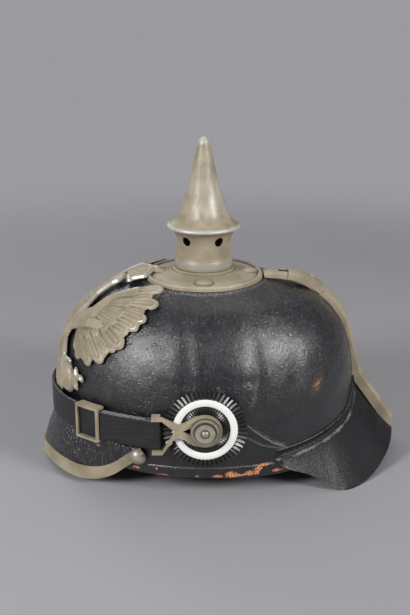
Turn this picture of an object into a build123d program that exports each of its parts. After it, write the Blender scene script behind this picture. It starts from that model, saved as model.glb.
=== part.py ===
from build123d import *
from math import asin, atan2, cos, degrees, hypot, pi, radians, sin, sqrt
import os

# A spiked leather helmet. The front faces -Y, the wearer's left is +X, the spike stands
# on the Z axis, and the helmet rests on the floor at Z = 0. Lengths are in millimetres.

overrun = 4.0               # how far a cutting shape runs past what it cuts
seat_gap = 0.3              # between faces that move past each other

# The skull, a moulded leather shell with upright walls under a dome
brow_reach = 113.5          # spike axis to the outside of the brow
nape_reach = 117.0
skull_half_width = 91.5
skull_wall = 3.0
dome_foot = 8.0             # the working solid starts here, below the trimmed edge
crease_height = 31.5        # the wall turns inwards below this crease
rim_tuck = 1.5
widest_height = 48.0        # the walls are upright up to here
shoulder_height = 134.0
crown_height = 143.0        # seat of the spike base
crown_radius = 45.0
crown_rise = 101.0          # height of the dome's curve above the upright walls
cap_rise = 5.0
brow_power, nape_power, temple_power = 2.4, 2.85, 2.6
dome_level_shares = (0.25, 0.45, 0.62, 0.77, 0.9, 1.0)

rim_front, rim_temple, rim_low, rim_ear, rim_nape, rim_rear = 24.0, 18.0, 16.6, 15.2, 18.0, 42.0

# The front visor and the neck guard, sewn to the outside of the skull
visor_wall = 2.5
visor_centre = -50.0        # Y of the point that the visor's plan turns about
visor_reach = 79.3          # from that point to the edge at the front
visor_end_rise = 24.5       # edge height where the visor meets the temples
visor_seam, visor_seam_end = 40.5, 35.5
visor_band = 5.0            # sewn margin above the seam
visor_stations = (0, 15, 30, 45, 60, 70, 80, 88, 93)
visor_reach_shares = (1, 0.97, 0.962, 0.976, 0.984, 0.972, 0.991, 1.036, 1.069)
visor_rise_shares = (0, 0.07, 0.155, 0.2, 0.21, 0.31, 0.61, 1, 1.17)
visor_seam_shares = (1, 1, 0.95, 0.75, 0.5, 0.35, 0.2, 0, 0.1)
visor_bow_share = 0.05      # bulge as a share of the leather's drop

guard_wall = 2.5
guard_centre = 55.0
guard_reach = 95.8
guard_rise = 19.5           # edge height at the rear midline
guard_seam, guard_seam_end = 58.0, 27.0
guard_band = 8.0
guard_stations = (0, 10, 20, 30, 40, 50, 57, 63, 70, 77, 85, 92)
guard_reach_shares = (1, 0.995, 0.987, 0.977, 0.976, 0.981, 0.976, 0.934, 0.89, 0.88, 0.893, 0.893)
guard_rise_shares = (1, 0.87, 0.62, 0.35, 0.13, 0.02, 0, 0.15, 0.54, 0.82, 1.03, 1.13)
guard_seam_shares = (1, 0.86, 0.63, 0.44, 0.34, 0.27, 0.21, 0.17, 0.12, 0.08, 0.03, 0)
guard_bow_share = -0.03

sewing_depth = 1.0          # the flaps start this far inside the skull before they are cut to it
wear_flat = 0.4             # worn flats where the edges rest on the floor

# The visor's metal trim and the studs at its ends
trim_wall = 0.9
trim_height = 9.0
trim_stud_radius = 6.2
trim_stud_rise = 4.2
trim_stud_y, trim_stud_z = -46.7, 31.3
trim_stud_shank = 1.8

# The spike base: a dished disc with a collar that the spike turns onto
base_bead = 1.8             # radius of the rolled edge
base_sheet = 1.4
flare_radius, flare_height = 24.0, 149.4
collar_radius = 19.6
collar_wall = 2.0
collar_top = 159.6
collar_foot_radius = 22.6
base_stud_circle = 34.0
base_stud_count = 4
base_stud_radius = 7.0
base_stud_rise = 3.4
stud_shank_radius = 2.2
washer_wall = 1.2
washer_radius = 7.0
leg_length, leg_width, leg_wall = 8.0, 3.0, 1.0

# The spike: a pierced neck under a cone, turned off as one
neck_foot = 150.8
neck_bead_top = 160.0
neck_bead_radius = 22.0
neck_foot_radius = 21.2
neck_waist_radius = 20.3
neck_waist_height = 168.0
neck_top = 181.0
neck_top_radius = 25.0
neck_lip_radius = 21.7
neck_lip_height = 176.0
neck_wall = 1.0
bore_clearance = 0.1
neck_hole_count = 5
neck_hole_radius = 3.6
neck_hole_height = 173.5
neck_hole_turn = 33.0
spike_bead_radius = 28.0
spike_bead = 1.5
spike_tip = 249.5
spike_tip_radius, spike_tip_drop = 2.6, 1.4
spike_wall = 1.2
spike_radius_shares = (0.835, 0.71, 0.61, 0.53, 0.45, 0.38, 0.27, 0.15)
spike_rise_shares = (0.068, 0.13, 0.23, 0.33, 0.43, 0.53, 0.735, 0.94)
lug_count = 2
lug_depth = 1.3
lug_angle = 16.0
lug_rise = 3.0
lug_foot = 153.0
twist_angle = 40.0

# The rear spine, its vent slot and the slide that closes it
spine_arc_y, spine_arc_z = 55.0, 86.3
spine_radius = 61.5
spine_start_y = 45.7
spine_arc_end = 15.0        # degrees above level where the arc runs into a straight
spine_width = 15.5
spine_depth = 5.5
spine_skirt = 3.5             # extra depth of the walls, cut to the leather
spine_dome = 2.2
spine_wall = 0.9
spine_knee_drop = 37.5
spine_knee_radius = 16.0
spine_end_y, spine_end_z = 151.4, 28.0
spine_hook_wall = 1.5
spine_hook_reach = 6.0
spine_hook_top = 14.0
screw_angle = 38.0
screw_radius = 1.8
spine_screw_length = 15.0
screw_tail = 2.0
nut_radius = 4.0
slot_width = 7.0
slot_front, slot_rear = 88.0, 77.6      # degrees round the spine's arc
slide_front, slide_rear = 80.8, 52.6
slide_travel = 8.5
slide_wall = 0.8
knob_angle = 62.9
knob_radius, knob_rise = 2.1, 2.4

# The side posts, the cockades and the hooks that hang the chin strap
post_y, post_z = 1.0, 55.8
post_seat_height = 93.9     # distance from the middle of the helmet to the pillar's foot
cockade_radius = 29.85
cockade_root_radius = 28.3
cockade_flutes = 40
cockade_back = 92.2         # distance of each layer from the middle of the helmet
cockade_sheet = 1.3
cockade_ring = 0.6
cockade_ring_outer, cockade_ring_inner = 23.15, 17.95
cockade_flute, cockade_flute_width = 0.4, 2.4
cockade_boss_radius = 10.0
post_neck_radius = 8.0
post_head_radius = 10.6
post_head = 97.4
post_head_wall = 2.0
post_step_radius, post_step = 7.6, 2.0
post_knob_radius, post_knob = 2.8, 1.6
hook_face = 95.0
hook_sheet = 2.0
hook_clearance = 0.1
hook_ring_radius = 12.2
hook_body_rear = 30.5       # from the post's axis to where the arms run level
hook_edge_shares = ((0, 0.4), (0.25, 0.36), (0.48, 0.21), (0.62, 0.165), (0.74, 0.22))
hook_fork = 21.5            # from the post's axis to where the two arms part
hook_notch_rear, hook_notch_front, hook_notch_half = 9.0, 16.5, 3.2
hook_arm = 3.0
hook_arm_reach = 38.0
hook_arm_foot = 90.0
hook_bar_radius = 1.6

# The chin strap in plan: one arc round the front, a flatter one along each side
strap_width = 22.0
strap_middle = 52.0
strap_wall = 2.0
strap_front_reach = 119.8
strap_front_radius = 84.0
strap_side_radius = 120.0
strap_turn = 44.0
strap_layer_gap = 0.4
strap_lap_end = 43.0        # degrees before level where the outer layer ends
strap_lap_start, strap_lap_end = 11.1, 44.0    # degrees before level, at the fold and the end
fold_wall = 2.0
hook_strap_gap = 0.4
buckle_start, buckle_end = 32.1, 42.1
buckle_wall = 1.7
buckle_back_wall = 0.9
buckle_bar_angle = 0.95
buckle_rail = 1.8
buckle_gap = 0.35

# The eagle plate, laid out on a plane that leans back with the brow
plate_tilt = 40.0
plate_half_width = 67.0
plate_stand_off = 2.0
plate_wall = 1.3
plate_relief = 0.7
plate_depth_start, plate_depth_limit = 60.0, 150.0
plate_levels = (38.0, 48.0, 70.0, 90.0, 106.0, 120.0, 131.0, 138.0, 142.0)
wing_shares = ((0.12, 0.12), (0.3, 0.2), (0.45, 0.16), (0.652, 0.109), (0.722, 0.17), (0.81, 0.188),
               (0.87, 0.304), (0.934, 0.361), (0.931, 0.439), (0.967, 0.539), (1, 0.639),
               (0.993, 0.71), (0.954, 0.742), (0.951, 0.804), (0.981, 0.863), (0.973, 0.961),
               (0.943, 1), (0.888, 1.019), (0.872, 1.042), (0.855, 1.184), (0.799, 1.227),
               (0.727, 1.213), (0.66, 1.304), (0.501, 1.222), (0.428, 1.052), (0.404, 0.879),
               (0.313, 0.736), (0.15, 0.7))
feather_shares = ((0.5, 0.86, 0.66, 1.24, 0.1), (0.56, 0.84, 0.77, 1.14, 0.1),
                  (0.6, 0.8, 0.83, 1.0, 0.1), (0.6, 0.72, 0.91, 0.91, 0.1),
                  (0.6, 0.64, 0.92, 0.78, 0.1), (0.58, 0.56, 0.93, 0.65, 0.1),
                  (0.56, 0.48, 0.9, 0.52, 0.1), (0.54, 0.4, 0.87, 0.4, 0.1),
                  (0.5, 0.32, 0.78, 0.28, 0.09), (0.42, 0.3, 0.62, 0.19, 0.08))
shoulder_shares = ((0.34, 0.76, 0.5, 0.98, 0.12), (0.4, 0.66, 0.52, 0.78, 0.12),
                   (0.38, 0.54, 0.5, 0.62, 0.1), (0.36, 0.44, 0.48, 0.47, 0.09))
tail_feather_shares = ((0, 0.0, 0, -0.4, 0.1), (0.1, 0.0, 0.16, -0.37, 0.1),
                       (0.17, 0.0, 0.31, -0.31, 0.09))
body_shares = ((0, 0.3), (0.449, 0.397), (0.3, 0.6), (0.178, 0.806), (0.119, 0.966),
               (0.185, 1.09), (0.237, 1.19), (0.234, 1.25), (0, 1.33))
tail_shares = ((0, 0.2), (0.16, 0.16), (0.2, -0.06), (0.42, -0.34), (0.25, -0.42), (0, -0.45))
leg_shares = ((0.1, 0.15), (0.3, 0), (0.5, 0.06), (0.62, -0.06), (0.56, -0.15), (0.4, -0.1),
              (0.1, -0.12))
breast_shares = (0, 0.36, 0.24, 0.4)
head_shares = (-0.03, 0.93, 0.12, 0.1)
beak_shares = ((-0.08, 1.02), (-0.33, 0.9), (-0.28, 0.83), (-0.08, 0.86))
crown_shares = ((-0.17, 1.1), (-0.225, 1.19), (-0.2, 1.25), (0, 1.3), (0.2, 1.25), (0.225, 1.19),
                (0.17, 1.1))
orb_shares = (0.69, -0.12, 0.1, 0.1)
cross_shares = ((0.69, -0.06, 0.69, 0.13, 0.045), (0.63, 0.06, 0.75, 0.06, 0.045))
sceptre_shares = (-0.42, -0.32, -0.7, 0.16, 0.06)
claw_shares = ((0.34, 0.02, 0.58, -0.04, 0.05), (0.34, -0.04, 0.54, -0.12, 0.045))
banner_shares = ((0.22, 0.3, 0.4, 0.52, 0.09), (0.4, 0.52, 0.62, 0.62, 0.09))
loop_share, loop_height_share = 0.5, 0.62
loop_wire = 0.9
loop_length, loop_span = 10.0, 4.4
loop_clearance = 0.2
wedge_wall, wedge_length = 3.0, 15.0

# The liner: a sweatband whose fingers are drawn together inside the dome
liner_wall = 1.4
liner_levels = (18.0, 30.0, 44.0, 60.0, 72.0, 88.0, 100.0, 108.0)
liner_insets = (0.3, 0.9, 3.6, 4.8, 6.5, 14.0, 27.0, 42.0)
liner_rim_margin = 1.5
finger_count = 9
finger_root = 72.0
finger_gap = 5.0
cord_radius = 1.1

os.makedirs("parts", exist_ok=True)


def reach(full, power, rise):
    """Half size of the dome at a share of its rise, from the half size of its upright wall."""
    return full * (1 - rise ** power) ** (1 / power)


def skull_oval(height, grow=0):
    """Front reach, rear reach and half width of the skull at a height, grown outwards."""
    rise = max(height - widest_height, 0) / (crown_rise + grow)
    front = reach(brow_reach + grow, brow_power, rise)
    rear = reach(nape_reach + grow, nape_power, rise)
    side = reach(skull_half_width + grow, temple_power, rise)
    return front, rear, side


def oval_face(height, front, rear, side):
    """One level of the helmet as a flat oval face."""
    with BuildSketch(Plane.XY.offset(height)) as oval:
        with Locations((0, (rear - front) / 2)):
            Ellipse(side, (front + rear) / 2)
    return oval.sketch


def dome(grow):
    """The outside of the skull as a solid, grown outwards all round."""
    front, rear, side = skull_oval(dome_foot, grow - rim_tuck)
    levels = [oval_face(dome_foot, front, rear, side)]
    levels += [oval_face(height, *skull_oval(height, grow)) for height in (crease_height, widest_height)]
    rise = shoulder_height + grow - widest_height
    for share in dome_level_shares:
        height = widest_height + rise * share
        levels.append(oval_face(height, *skull_oval(height, grow)))
    levels.append(oval_face(crown_height + grow, crown_radius, crown_radius, crown_radius))
    crown = crown_height + grow
    with BuildPart() as solid:
        loft(sections=levels)
        with BuildSketch(Plane.XZ):
            with BuildLine():
                Polyline((crown_radius, crown), (0, crown), (0, crown + cap_rise))
                ThreePointArc((0, crown + cap_rise), (crown_radius / 2, cap_height(crown_radius / 2, grow)),
                              (crown_radius, crown))
            make_face()
        revolve(axis=Axis.Z)
    return solid.part


def cap_height(radius, grow=0):
    """Height of the shallow cap that the spike base sits on."""
    sphere = (crown_radius ** 2 + cap_rise ** 2) / (2 * cap_rise)
    return crown_height + grow + cap_rise - sphere + sqrt(sphere ** 2 - radius ** 2)


def wall_reach(start_y, dx, dy, height, grow=0):
    """Distance from a point on the midline to the skull's outside, along a level direction."""
    front, rear, side = skull_oval(height, grow)
    half = (front + rear) / 2
    shift = start_y - (rear - front) / 2
    square = (dx / side) ** 2 + (dy / half) ** 2
    middle = shift * dy / half ** 2
    rest = (shift / half) ** 2 - 1
    return (sqrt(middle ** 2 - square * rest) - middle) / square


def sheet_point(edge, seam, bow, along, out):
    """A point on a bowed sheet: a distance up from its edge, and a distance off its inner face."""
    length = hypot(seam[0] - edge[0], seam[1] - edge[1])
    up = ((seam[0] - edge[0]) / length, (seam[1] - edge[1]) / length)
    off = (up[1], -up[0])
    share = along / length
    swell = 4 * bow * length * share * (1 - share) + out
    return edge[0] + up[0] * along + off[0] * swell, edge[1] + up[1] * along + off[1] * swell


def flap_stations(facing, centre, stations, reaches, rises, seams):
    """The flap's vertical cutting planes from side to side, with the edge and seam in each."""
    rows = list(zip(stations, reaches, rises, seams))
    rows = [(-angle, *rest) for angle, *rest in reversed(rows[1:])] + rows
    places = []
    for angle, edge_reach, edge_height, seam_height in rows:
        dx, dy = sin(radians(angle)), facing * cos(radians(angle))
        plane = Plane(origin=(0, centre, 0), x_dir=(dx, dy, 0), z_dir=(dy, -dx, 0))
        wall = wall_reach(centre, dx, dy, seam_height)
        places.append((plane, (edge_reach, edge_height), (wall, seam_height)))
    return places


def flap(places, wall, band, bow):
    """A leather flap lofted through its stations and cut to the skull's outside."""
    with BuildPart() as leather:
        for plane, edge, seam in places:
            foot = (edge[0] - wall, edge[1])
            root = (seam[0] - sewing_depth, seam[1])
            length = hypot(root[0] - foot[0], root[1] - foot[1])
            lip = (seam[0] + wall, seam[1])
            outer_length = hypot(lip[0] - edge[0], lip[1] - edge[1])
            with BuildSketch(plane):
                with BuildLine():
                    ThreePointArc(foot, sheet_point(foot, root, bow, length / 2, 0), root)
                    Polyline(root, (root[0], seam[1] + band), (seam[0] + wall / 2, seam[1] + band), lip)
                    ThreePointArc(lip, sheet_point(edge, lip, bow, outer_length / 2, 0), edge)
                    Line(edge, foot)
                make_face()
        loft()
        add(skull_outside, mode=Mode.SUBTRACT)
        split(bisect_by=Plane.XY, keep=Keep.TOP)
    return leather.part


def domed_stud(plane, head, rise, foot, shank, grip):
    """A domed head on a shank. The plane's normal points out of the head."""
    side = Plane(origin=plane.origin, x_dir=plane.x_dir, z_dir=-plane.y_dir)
    with BuildPart() as stud:
        with BuildSketch(side):
            with BuildLine():
                Polyline((0, rise), (0, -grip), (shank, -grip), (shank, foot), (head, foot), (head, 0))
                RadiusArc((head, 0), (0, rise), -(head ** 2 + rise ** 2) / (2 * rise))
            make_face()
        revolve(axis=Axis(plane.origin, plane.z_dir))
    return stud.part


def split_legs(plane):
    """The two bent legs of a split stud, spread flat on its washer."""
    with BuildPart() as legs:
        with BuildSketch(plane):
            Rectangle(2 * leg_length, leg_width)
        extrude(amount=-leg_wall)
    return legs.part


skull_outside = dome(0)
skull_inside = dome(-skull_wall)
plate_plane = Plane(origin=(0, 0, 0), x_dir=(1, 0, 0),
                    z_dir=(0, -cos(radians(plate_tilt)), sin(radians(plate_tilt))))
post_plane = Plane(origin=(0, post_y, post_z), x_dir=(0, 1, 0), z_dir=(1, 0, 0))
slot_middle = radians((slot_front + slot_rear) / 2)
slot_y = spine_arc_y + spine_radius * cos(slot_middle)
slot_length = radians(slot_front - slot_rear) * spine_radius
loop_places = [(side * loop_share * plate_half_width, loop_height_share * plate_half_width)
               for side in (1, -1)]
screw_plane = Plane(origin=(0, spine_arc_y, spine_arc_z), x_dir=(1, 0, 0),
                    z_dir=(0, cos(radians(screw_angle)), sin(radians(screw_angle))))

# Skull
rim_points = [(-brow_reach - 2 * overrun, rim_front), (-brow_reach / 2, rim_temple), (0, rim_low),
              (nape_reach / 3, rim_ear), (nape_reach * 2 / 3, rim_nape),
              (nape_reach + 2 * overrun, rim_rear)]


def rim_cutter(lift):
    """Everything below the skull's trimmed edge, raised by a margin."""
    with BuildPart() as cutter:
        with BuildSketch(Plane.YZ):
            with BuildLine():
                points = [(y, z + lift) for y, z in rim_points]
                Spline(*points)
                Polyline(points[0], (points[0][0], 0), (points[-1][0], 0), points[-1])
            make_face()
        extrude(amount=skull_half_width + overrun, both=True)
    return cutter.part


with BuildPart() as skull:
    add(skull_outside)
    add(skull_inside, mode=Mode.SUBTRACT)
    add(rim_cutter(0), mode=Mode.SUBTRACT)
    with BuildSketch(Plane.XY.offset(shoulder_height)):
        Circle(collar_radius - collar_wall)
        with PolarLocations(base_stud_circle, base_stud_count):
            Circle(stud_shank_radius)
        with Locations((0, slot_y)):
            Rectangle(slot_width, slot_length)
    extrude(amount=crown_height - shoulder_height + 2 * cap_rise, mode=Mode.SUBTRACT)
    with BuildSketch(post_plane):
        Circle(stud_shank_radius)
    extrude(amount=skull_half_width + overrun, both=True, mode=Mode.SUBTRACT)
    with BuildSketch(plate_plane):
        with Locations(*loop_places):
            Rectangle(loop_span + 2 * (loop_wire + loop_clearance), 2 * (loop_wire + loop_clearance))
    extrude(amount=plate_depth_limit, mode=Mode.SUBTRACT)
    with BuildSketch(screw_plane):
        Circle(screw_radius)
    extrude(amount=spine_radius, mode=Mode.SUBTRACT)
skull.part.label = "skull"
export_step(skull.part, "parts/skull.step")

# Front visor
visor_places = flap_stations(
    -1, visor_centre, visor_stations,
    [visor_reach * share for share in visor_reach_shares],
    [trim_wall - wear_flat + visor_end_rise * share for share in visor_rise_shares],
    [visor_seam_end + (visor_seam - visor_seam_end) * share for share in visor_seam_shares])

with BuildPart() as front_visor:
    add(flap(visor_places, visor_wall, visor_band, visor_bow_share))
front_visor.part.label = "front_visor"
export_step(front_visor.part, "parts/front_visor.step")

# Neck guard
guard_places = flap_stations(
    1, guard_centre, guard_stations,
    [guard_reach * share for share in guard_reach_shares],
    [guard_rise * share - wear_flat for share in guard_rise_shares],
    [guard_seam_end + (guard_seam - guard_seam_end) * share for share in guard_seam_shares])

with BuildPart() as neck_guard:
    add(flap(guard_places, guard_wall, guard_band, guard_bow_share))
neck_guard.part.label = "neck_guard"
export_step(neck_guard.part, "parts/neck_guard.step")

# Trim along the visor's edge: a channel, cut out by the leather that it grips
with BuildPart() as visor_trim:
    for plane, edge, seam in visor_places:
        foot = (edge[0] - visor_wall, edge[1])
        root = (seam[0] - sewing_depth, seam[1])
        lip = (seam[0] + visor_wall, seam[1])
        with BuildSketch(plane):
            with BuildLine():
                Polyline(sheet_point(foot, root, visor_bow_share, trim_height, -trim_wall),
                         (foot[0] - trim_wall, foot[1] - trim_wall),
                         (edge[0] + trim_wall, edge[1] - trim_wall),
                         sheet_point(edge, lip, visor_bow_share, trim_height, trim_wall), close=True)
            make_face()
    loft()
    add(front_visor.part, mode=Mode.SUBTRACT)
    add(skull_outside, mode=Mode.SUBTRACT)
    split(bisect_by=Plane.XY, keep=Keep.TOP)
visor_trim.part.label = "visor_trim"
export_step(visor_trim.part, "parts/visor_trim.step")

# Studs through the ends of the trim, one on each temple
temple_slope = skull_half_width / ((brow_reach + nape_reach) / 2)
trim_stud_shift = trim_stud_y - (nape_reach - brow_reach) / 2
trim_stud_x = wall_reach(trim_stud_y, 1, 0, trim_stud_z)
trim_stud_slope = trim_stud_shift / ((brow_reach + nape_reach) / 2)
trim_stud_normal = (trim_stud_x / skull_half_width, trim_stud_slope * temple_slope)


def trim_stud_plane(side):
    """Plane on the trim at a temple, facing outwards."""
    out = visor_wall + trim_wall
    size = hypot(*trim_stud_normal)
    nx, ny = trim_stud_normal[0] / size, trim_stud_normal[1] / size
    return Plane(origin=(side * (trim_stud_x + nx * out), trim_stud_y + ny * out, trim_stud_z),
                 x_dir=(0, 0, 1), z_dir=(side * nx, ny, 0))


with BuildPart() as visor_trim_studs:
    for side in (1, -1):
        add(domed_stud(trim_stud_plane(side), trim_stud_radius, trim_stud_rise, -trim_wall / 2,
                       trim_stud_shank, trim_wall))
    add(visor_trim.part, mode=Mode.SUBTRACT)
    add(front_visor.part, mode=Mode.SUBTRACT)
    add(skull_outside, mode=Mode.SUBTRACT)
visor_trim_studs.part.label = "visor_trim_studs"
export_step(visor_trim_studs.part, "parts/visor_trim_studs.step")

# Spike base: a dished disc, its rolled edge and the slotted collar
bead_centre = crown_radius - base_bead
slope_foot = cap_height(bead_centre - base_bead) + base_sheet
slot_angle = lug_angle + twist_angle + 2 * degrees(seat_gap / collar_radius)


def ring_wedge(inner, outer, start, end, foot, height):
    """A block of a ring between two radii and two angles, standing on a height."""
    with BuildPart() as wedge:
        with BuildSketch(Plane.XY.offset(foot)):
            with BuildLine():
                far = CenterArc((0, 0), outer, start, end - start)
                near = CenterArc((0, 0), inner, start, end - start)
                Line(far @ 0, near @ 0)
                Line(far @ 1, near @ 1)
            make_face()
        extrude(amount=height)
    return wedge.part


with BuildPart() as spike_base:
    with BuildSketch(Plane.XZ):
        with BuildLine():
            bore = collar_radius - collar_wall
            Polyline((bore, cap_height(bore)), (bore, collar_top), (collar_radius, collar_top),
                     (collar_radius, neck_foot - seat_gap), (collar_foot_radius, neck_foot - seat_gap),
                     (flare_radius, flare_height), (bead_centre - base_bead, slope_foot),
                     (bead_centre - base_bead, crown_height + base_bead))
            ThreePointArc((bead_centre - base_bead, crown_height + base_bead),
                          (bead_centre, crown_height + 2 * base_bead),
                          (crown_radius, crown_height + base_bead))
            Line((crown_radius, crown_height + base_bead), (crown_radius, crown_height))
            ThreePointArc((crown_radius, crown_height),
                          ((crown_radius + bore) / 2, cap_height((crown_radius + bore) / 2)),
                          (bore, cap_height(bore)))
        make_face()
    revolve(axis=Axis.Z)
    with BuildSketch(Plane.XY.offset(crown_height)):
        with PolarLocations(base_stud_circle, base_stud_count):
            Circle(stud_shank_radius)
    extrude(amount=2 * cap_rise, mode=Mode.SUBTRACT)
    for turn in range(lug_count):
        start = turn * 360 / lug_count - slot_angle + lug_angle / 2 + degrees(seat_gap / collar_radius)
        add(ring_wedge(bore - overrun, collar_radius + overrun, start, start + slot_angle,
                       lug_foot - seat_gap, lug_rise + 2 * seat_gap), mode=Mode.SUBTRACT)
        add(ring_wedge(bore - overrun, collar_radius + overrun, start,
                       start + lug_angle + 2 * degrees(seat_gap / collar_radius),
                       lug_foot - seat_gap, collar_top - lug_foot + overrun), mode=Mode.SUBTRACT)
spike_base.part.label = "spike_base"
export_step(spike_base.part, "parts/spike_base.step")

# Split studs that hold the base down, and the washers inside the dome
stud_angles = [turn * 360 / base_stud_count for turn in range(base_stud_count)]
washer_foot = cap_height(base_stud_circle + washer_radius, -skull_wall) - washer_wall


def base_stud_plane(angle, height):
    """Level plane over a stud, with its x axis round the circle of studs."""
    dx, dy = cos(radians(angle)), sin(radians(angle))
    return Plane(origin=(base_stud_circle * dx, base_stud_circle * dy, height), x_dir=(-dy, dx, 0))


with BuildPart() as spike_base_studs:
    stud_seat = slope_foot + (flare_height - slope_foot) / 2
    for angle in stud_angles:
        add(domed_stud(base_stud_plane(angle, stud_seat), base_stud_radius, base_stud_rise - base_sheet,
                       -base_sheet, stud_shank_radius, stud_seat - washer_foot))
    add(spike_base.part, mode=Mode.SUBTRACT)
    add(skull.part, mode=Mode.SUBTRACT)
    for angle in stud_angles:
        add(split_legs(base_stud_plane(angle, washer_foot)))
spike_base_studs.part.label = "spike_base_studs"
export_step(spike_base_studs.part, "parts/spike_base_studs.step")

with BuildPart() as spike_base_washers:
    with BuildSketch(Plane.XY.offset(washer_foot)):
        with PolarLocations(base_stud_circle, base_stud_count):
            Circle(washer_radius)
            Circle(stud_shank_radius, mode=Mode.SUBTRACT)
    extrude(amount=2 * cap_rise)
    add(skull_inside, mode=Mode.INTERSECT)
spike_base_washers.part.label = "spike_base_washers"
export_step(spike_base_washers.part, "parts/spike_base_washers.step")

# Spike neck with its vent holes and, inside, the lugs of the twist fastening
neck_bore = collar_radius + bore_clearance

with BuildPart() as spike_neck:
    with BuildSketch(Plane.XZ):
        with BuildLine():
            Polyline((neck_waist_radius - neck_wall, neck_bead_top + neck_wall),
                     (neck_bore, neck_bead_top), (neck_bore, neck_foot), (neck_foot_radius, neck_foot))
            ThreePointArc((neck_foot_radius, neck_foot),
                          (neck_bead_radius, (neck_foot + neck_bead_top) / 2),
                          (neck_foot_radius, neck_bead_top))
            Spline((neck_foot_radius, neck_bead_top), (neck_waist_radius, neck_waist_height),
                   (neck_lip_radius, neck_lip_height), (neck_top_radius, neck_top - neck_wall))
            Polyline((neck_top_radius, neck_top - neck_wall), (neck_top_radius, neck_top),
                     (neck_top_radius - neck_wall, neck_top))
            Spline((neck_top_radius - neck_wall, neck_top), (neck_lip_radius - neck_wall, neck_lip_height),
                   (neck_waist_radius - neck_wall, neck_waist_height),
                   (neck_waist_radius - neck_wall, neck_bead_top + neck_wall))
        make_face()
    revolve(axis=Axis.Z)
    for turn in range(neck_hole_count):
        angle = radians(neck_hole_turn + turn * 360 / neck_hole_count)
        with BuildSketch(Plane(origin=(0, 0, neck_hole_height), x_dir=(0, 0, 1),
                               z_dir=(cos(angle), sin(angle), 0))):
            Circle(neck_hole_radius)
        extrude(amount=neck_top_radius, mode=Mode.SUBTRACT)
    for turn in range(lug_count):
        middle = turn * 360 / lug_count
        add(ring_wedge(neck_bore - bore_clearance - lug_depth, neck_bore + neck_wall / 2,
                       middle - lug_angle / 2,
                       middle + lug_angle / 2, lug_foot, lug_rise))
spike_neck.part.label = "spike_neck"
export_step(spike_neck.part, "parts/spike_neck.step")

# Spike cone, hollow, with a rolled bead at its foot
cone_height = spike_tip - neck_top
cone_points = [(spike_bead_radius * r, neck_top + cone_height * z)
               for r, z in zip(spike_radius_shares, spike_rise_shares)]
cone_end = (cone_points[-1][0] - cone_points[-2][0], cone_points[-1][1] - cone_points[-2][1])

with BuildPart() as spike_cone:
    with BuildSketch(Plane.XZ):
        with BuildLine():
            foot = (spike_bead_radius - spike_bead, neck_top + 2 * spike_bead)
            bore_top = (0, cone_points[-2][1])
            Polyline(bore_top, *[(r - spike_wall, z - spike_wall) for r, z in reversed(cone_points[1:-1])],
                     (neck_top_radius - 2 * neck_wall, neck_top + spike_bead),
                     (neck_top_radius - neck_wall, neck_top), (spike_bead_radius - spike_bead, neck_top))
            ThreePointArc((spike_bead_radius - spike_bead, neck_top),
                          (spike_bead_radius, neck_top + spike_bead), foot)
            Spline(foot, *cone_points)
            Spline(cone_points[-1], (spike_tip_radius, spike_tip - spike_tip_drop), (0, spike_tip),
                   tangents=(cone_end, (-1, 0)))
            Line((0, spike_tip), bore_top)
        make_face()
    revolve(axis=Axis.Z)
spike_cone.part.label = "spike_cone"
export_step(spike_cone.part, "parts/spike_cone.step")

# Rear spine, swept down the back and over the edge of the guard
arc_end = radians(spine_arc_end)
crest_foot = (spine_arc_y + spine_radius * cos(arc_end), spine_arc_z + spine_radius * sin(arc_end))
crest_knee = (crest_foot[0] + spine_knee_drop * sin(arc_end),
              crest_foot[1] - spine_knee_drop * cos(arc_end))
crest_end = (spine_end_y, spine_end_z)
start_angle = degrees(pi / 2 + asin((spine_arc_y - spine_start_y) / spine_radius))
arc_axis = Axis((0, spine_arc_y, spine_arc_z), (1, 0, 0))


def arc_plane(angle):
    """Plane across the spine's arc, with y pointing outwards from the arc's centre."""
    dy, dz = cos(radians(angle)), sin(radians(angle))
    return Plane(origin=(0, spine_arc_y, spine_arc_z), x_dir=(-1, 0, 0), z_dir=(0, dz, -dy))


def channel_face(base, grow):
    """The domed channel's section, grown outwards, over a radius from the arc's centre."""
    half = spine_width / 2 + grow
    top = spine_radius + grow
    with BuildSketch() as section:
        with BuildLine():
            Polyline((half, top - spine_dome), (half, base), (-half, base), (-half, top - spine_dome))
            ThreePointArc((-half, top - spine_dome), (0, top), (half, top - spine_dome))
        make_face()
    return section.sketch


spine_base = spine_radius - spine_depth

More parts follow.
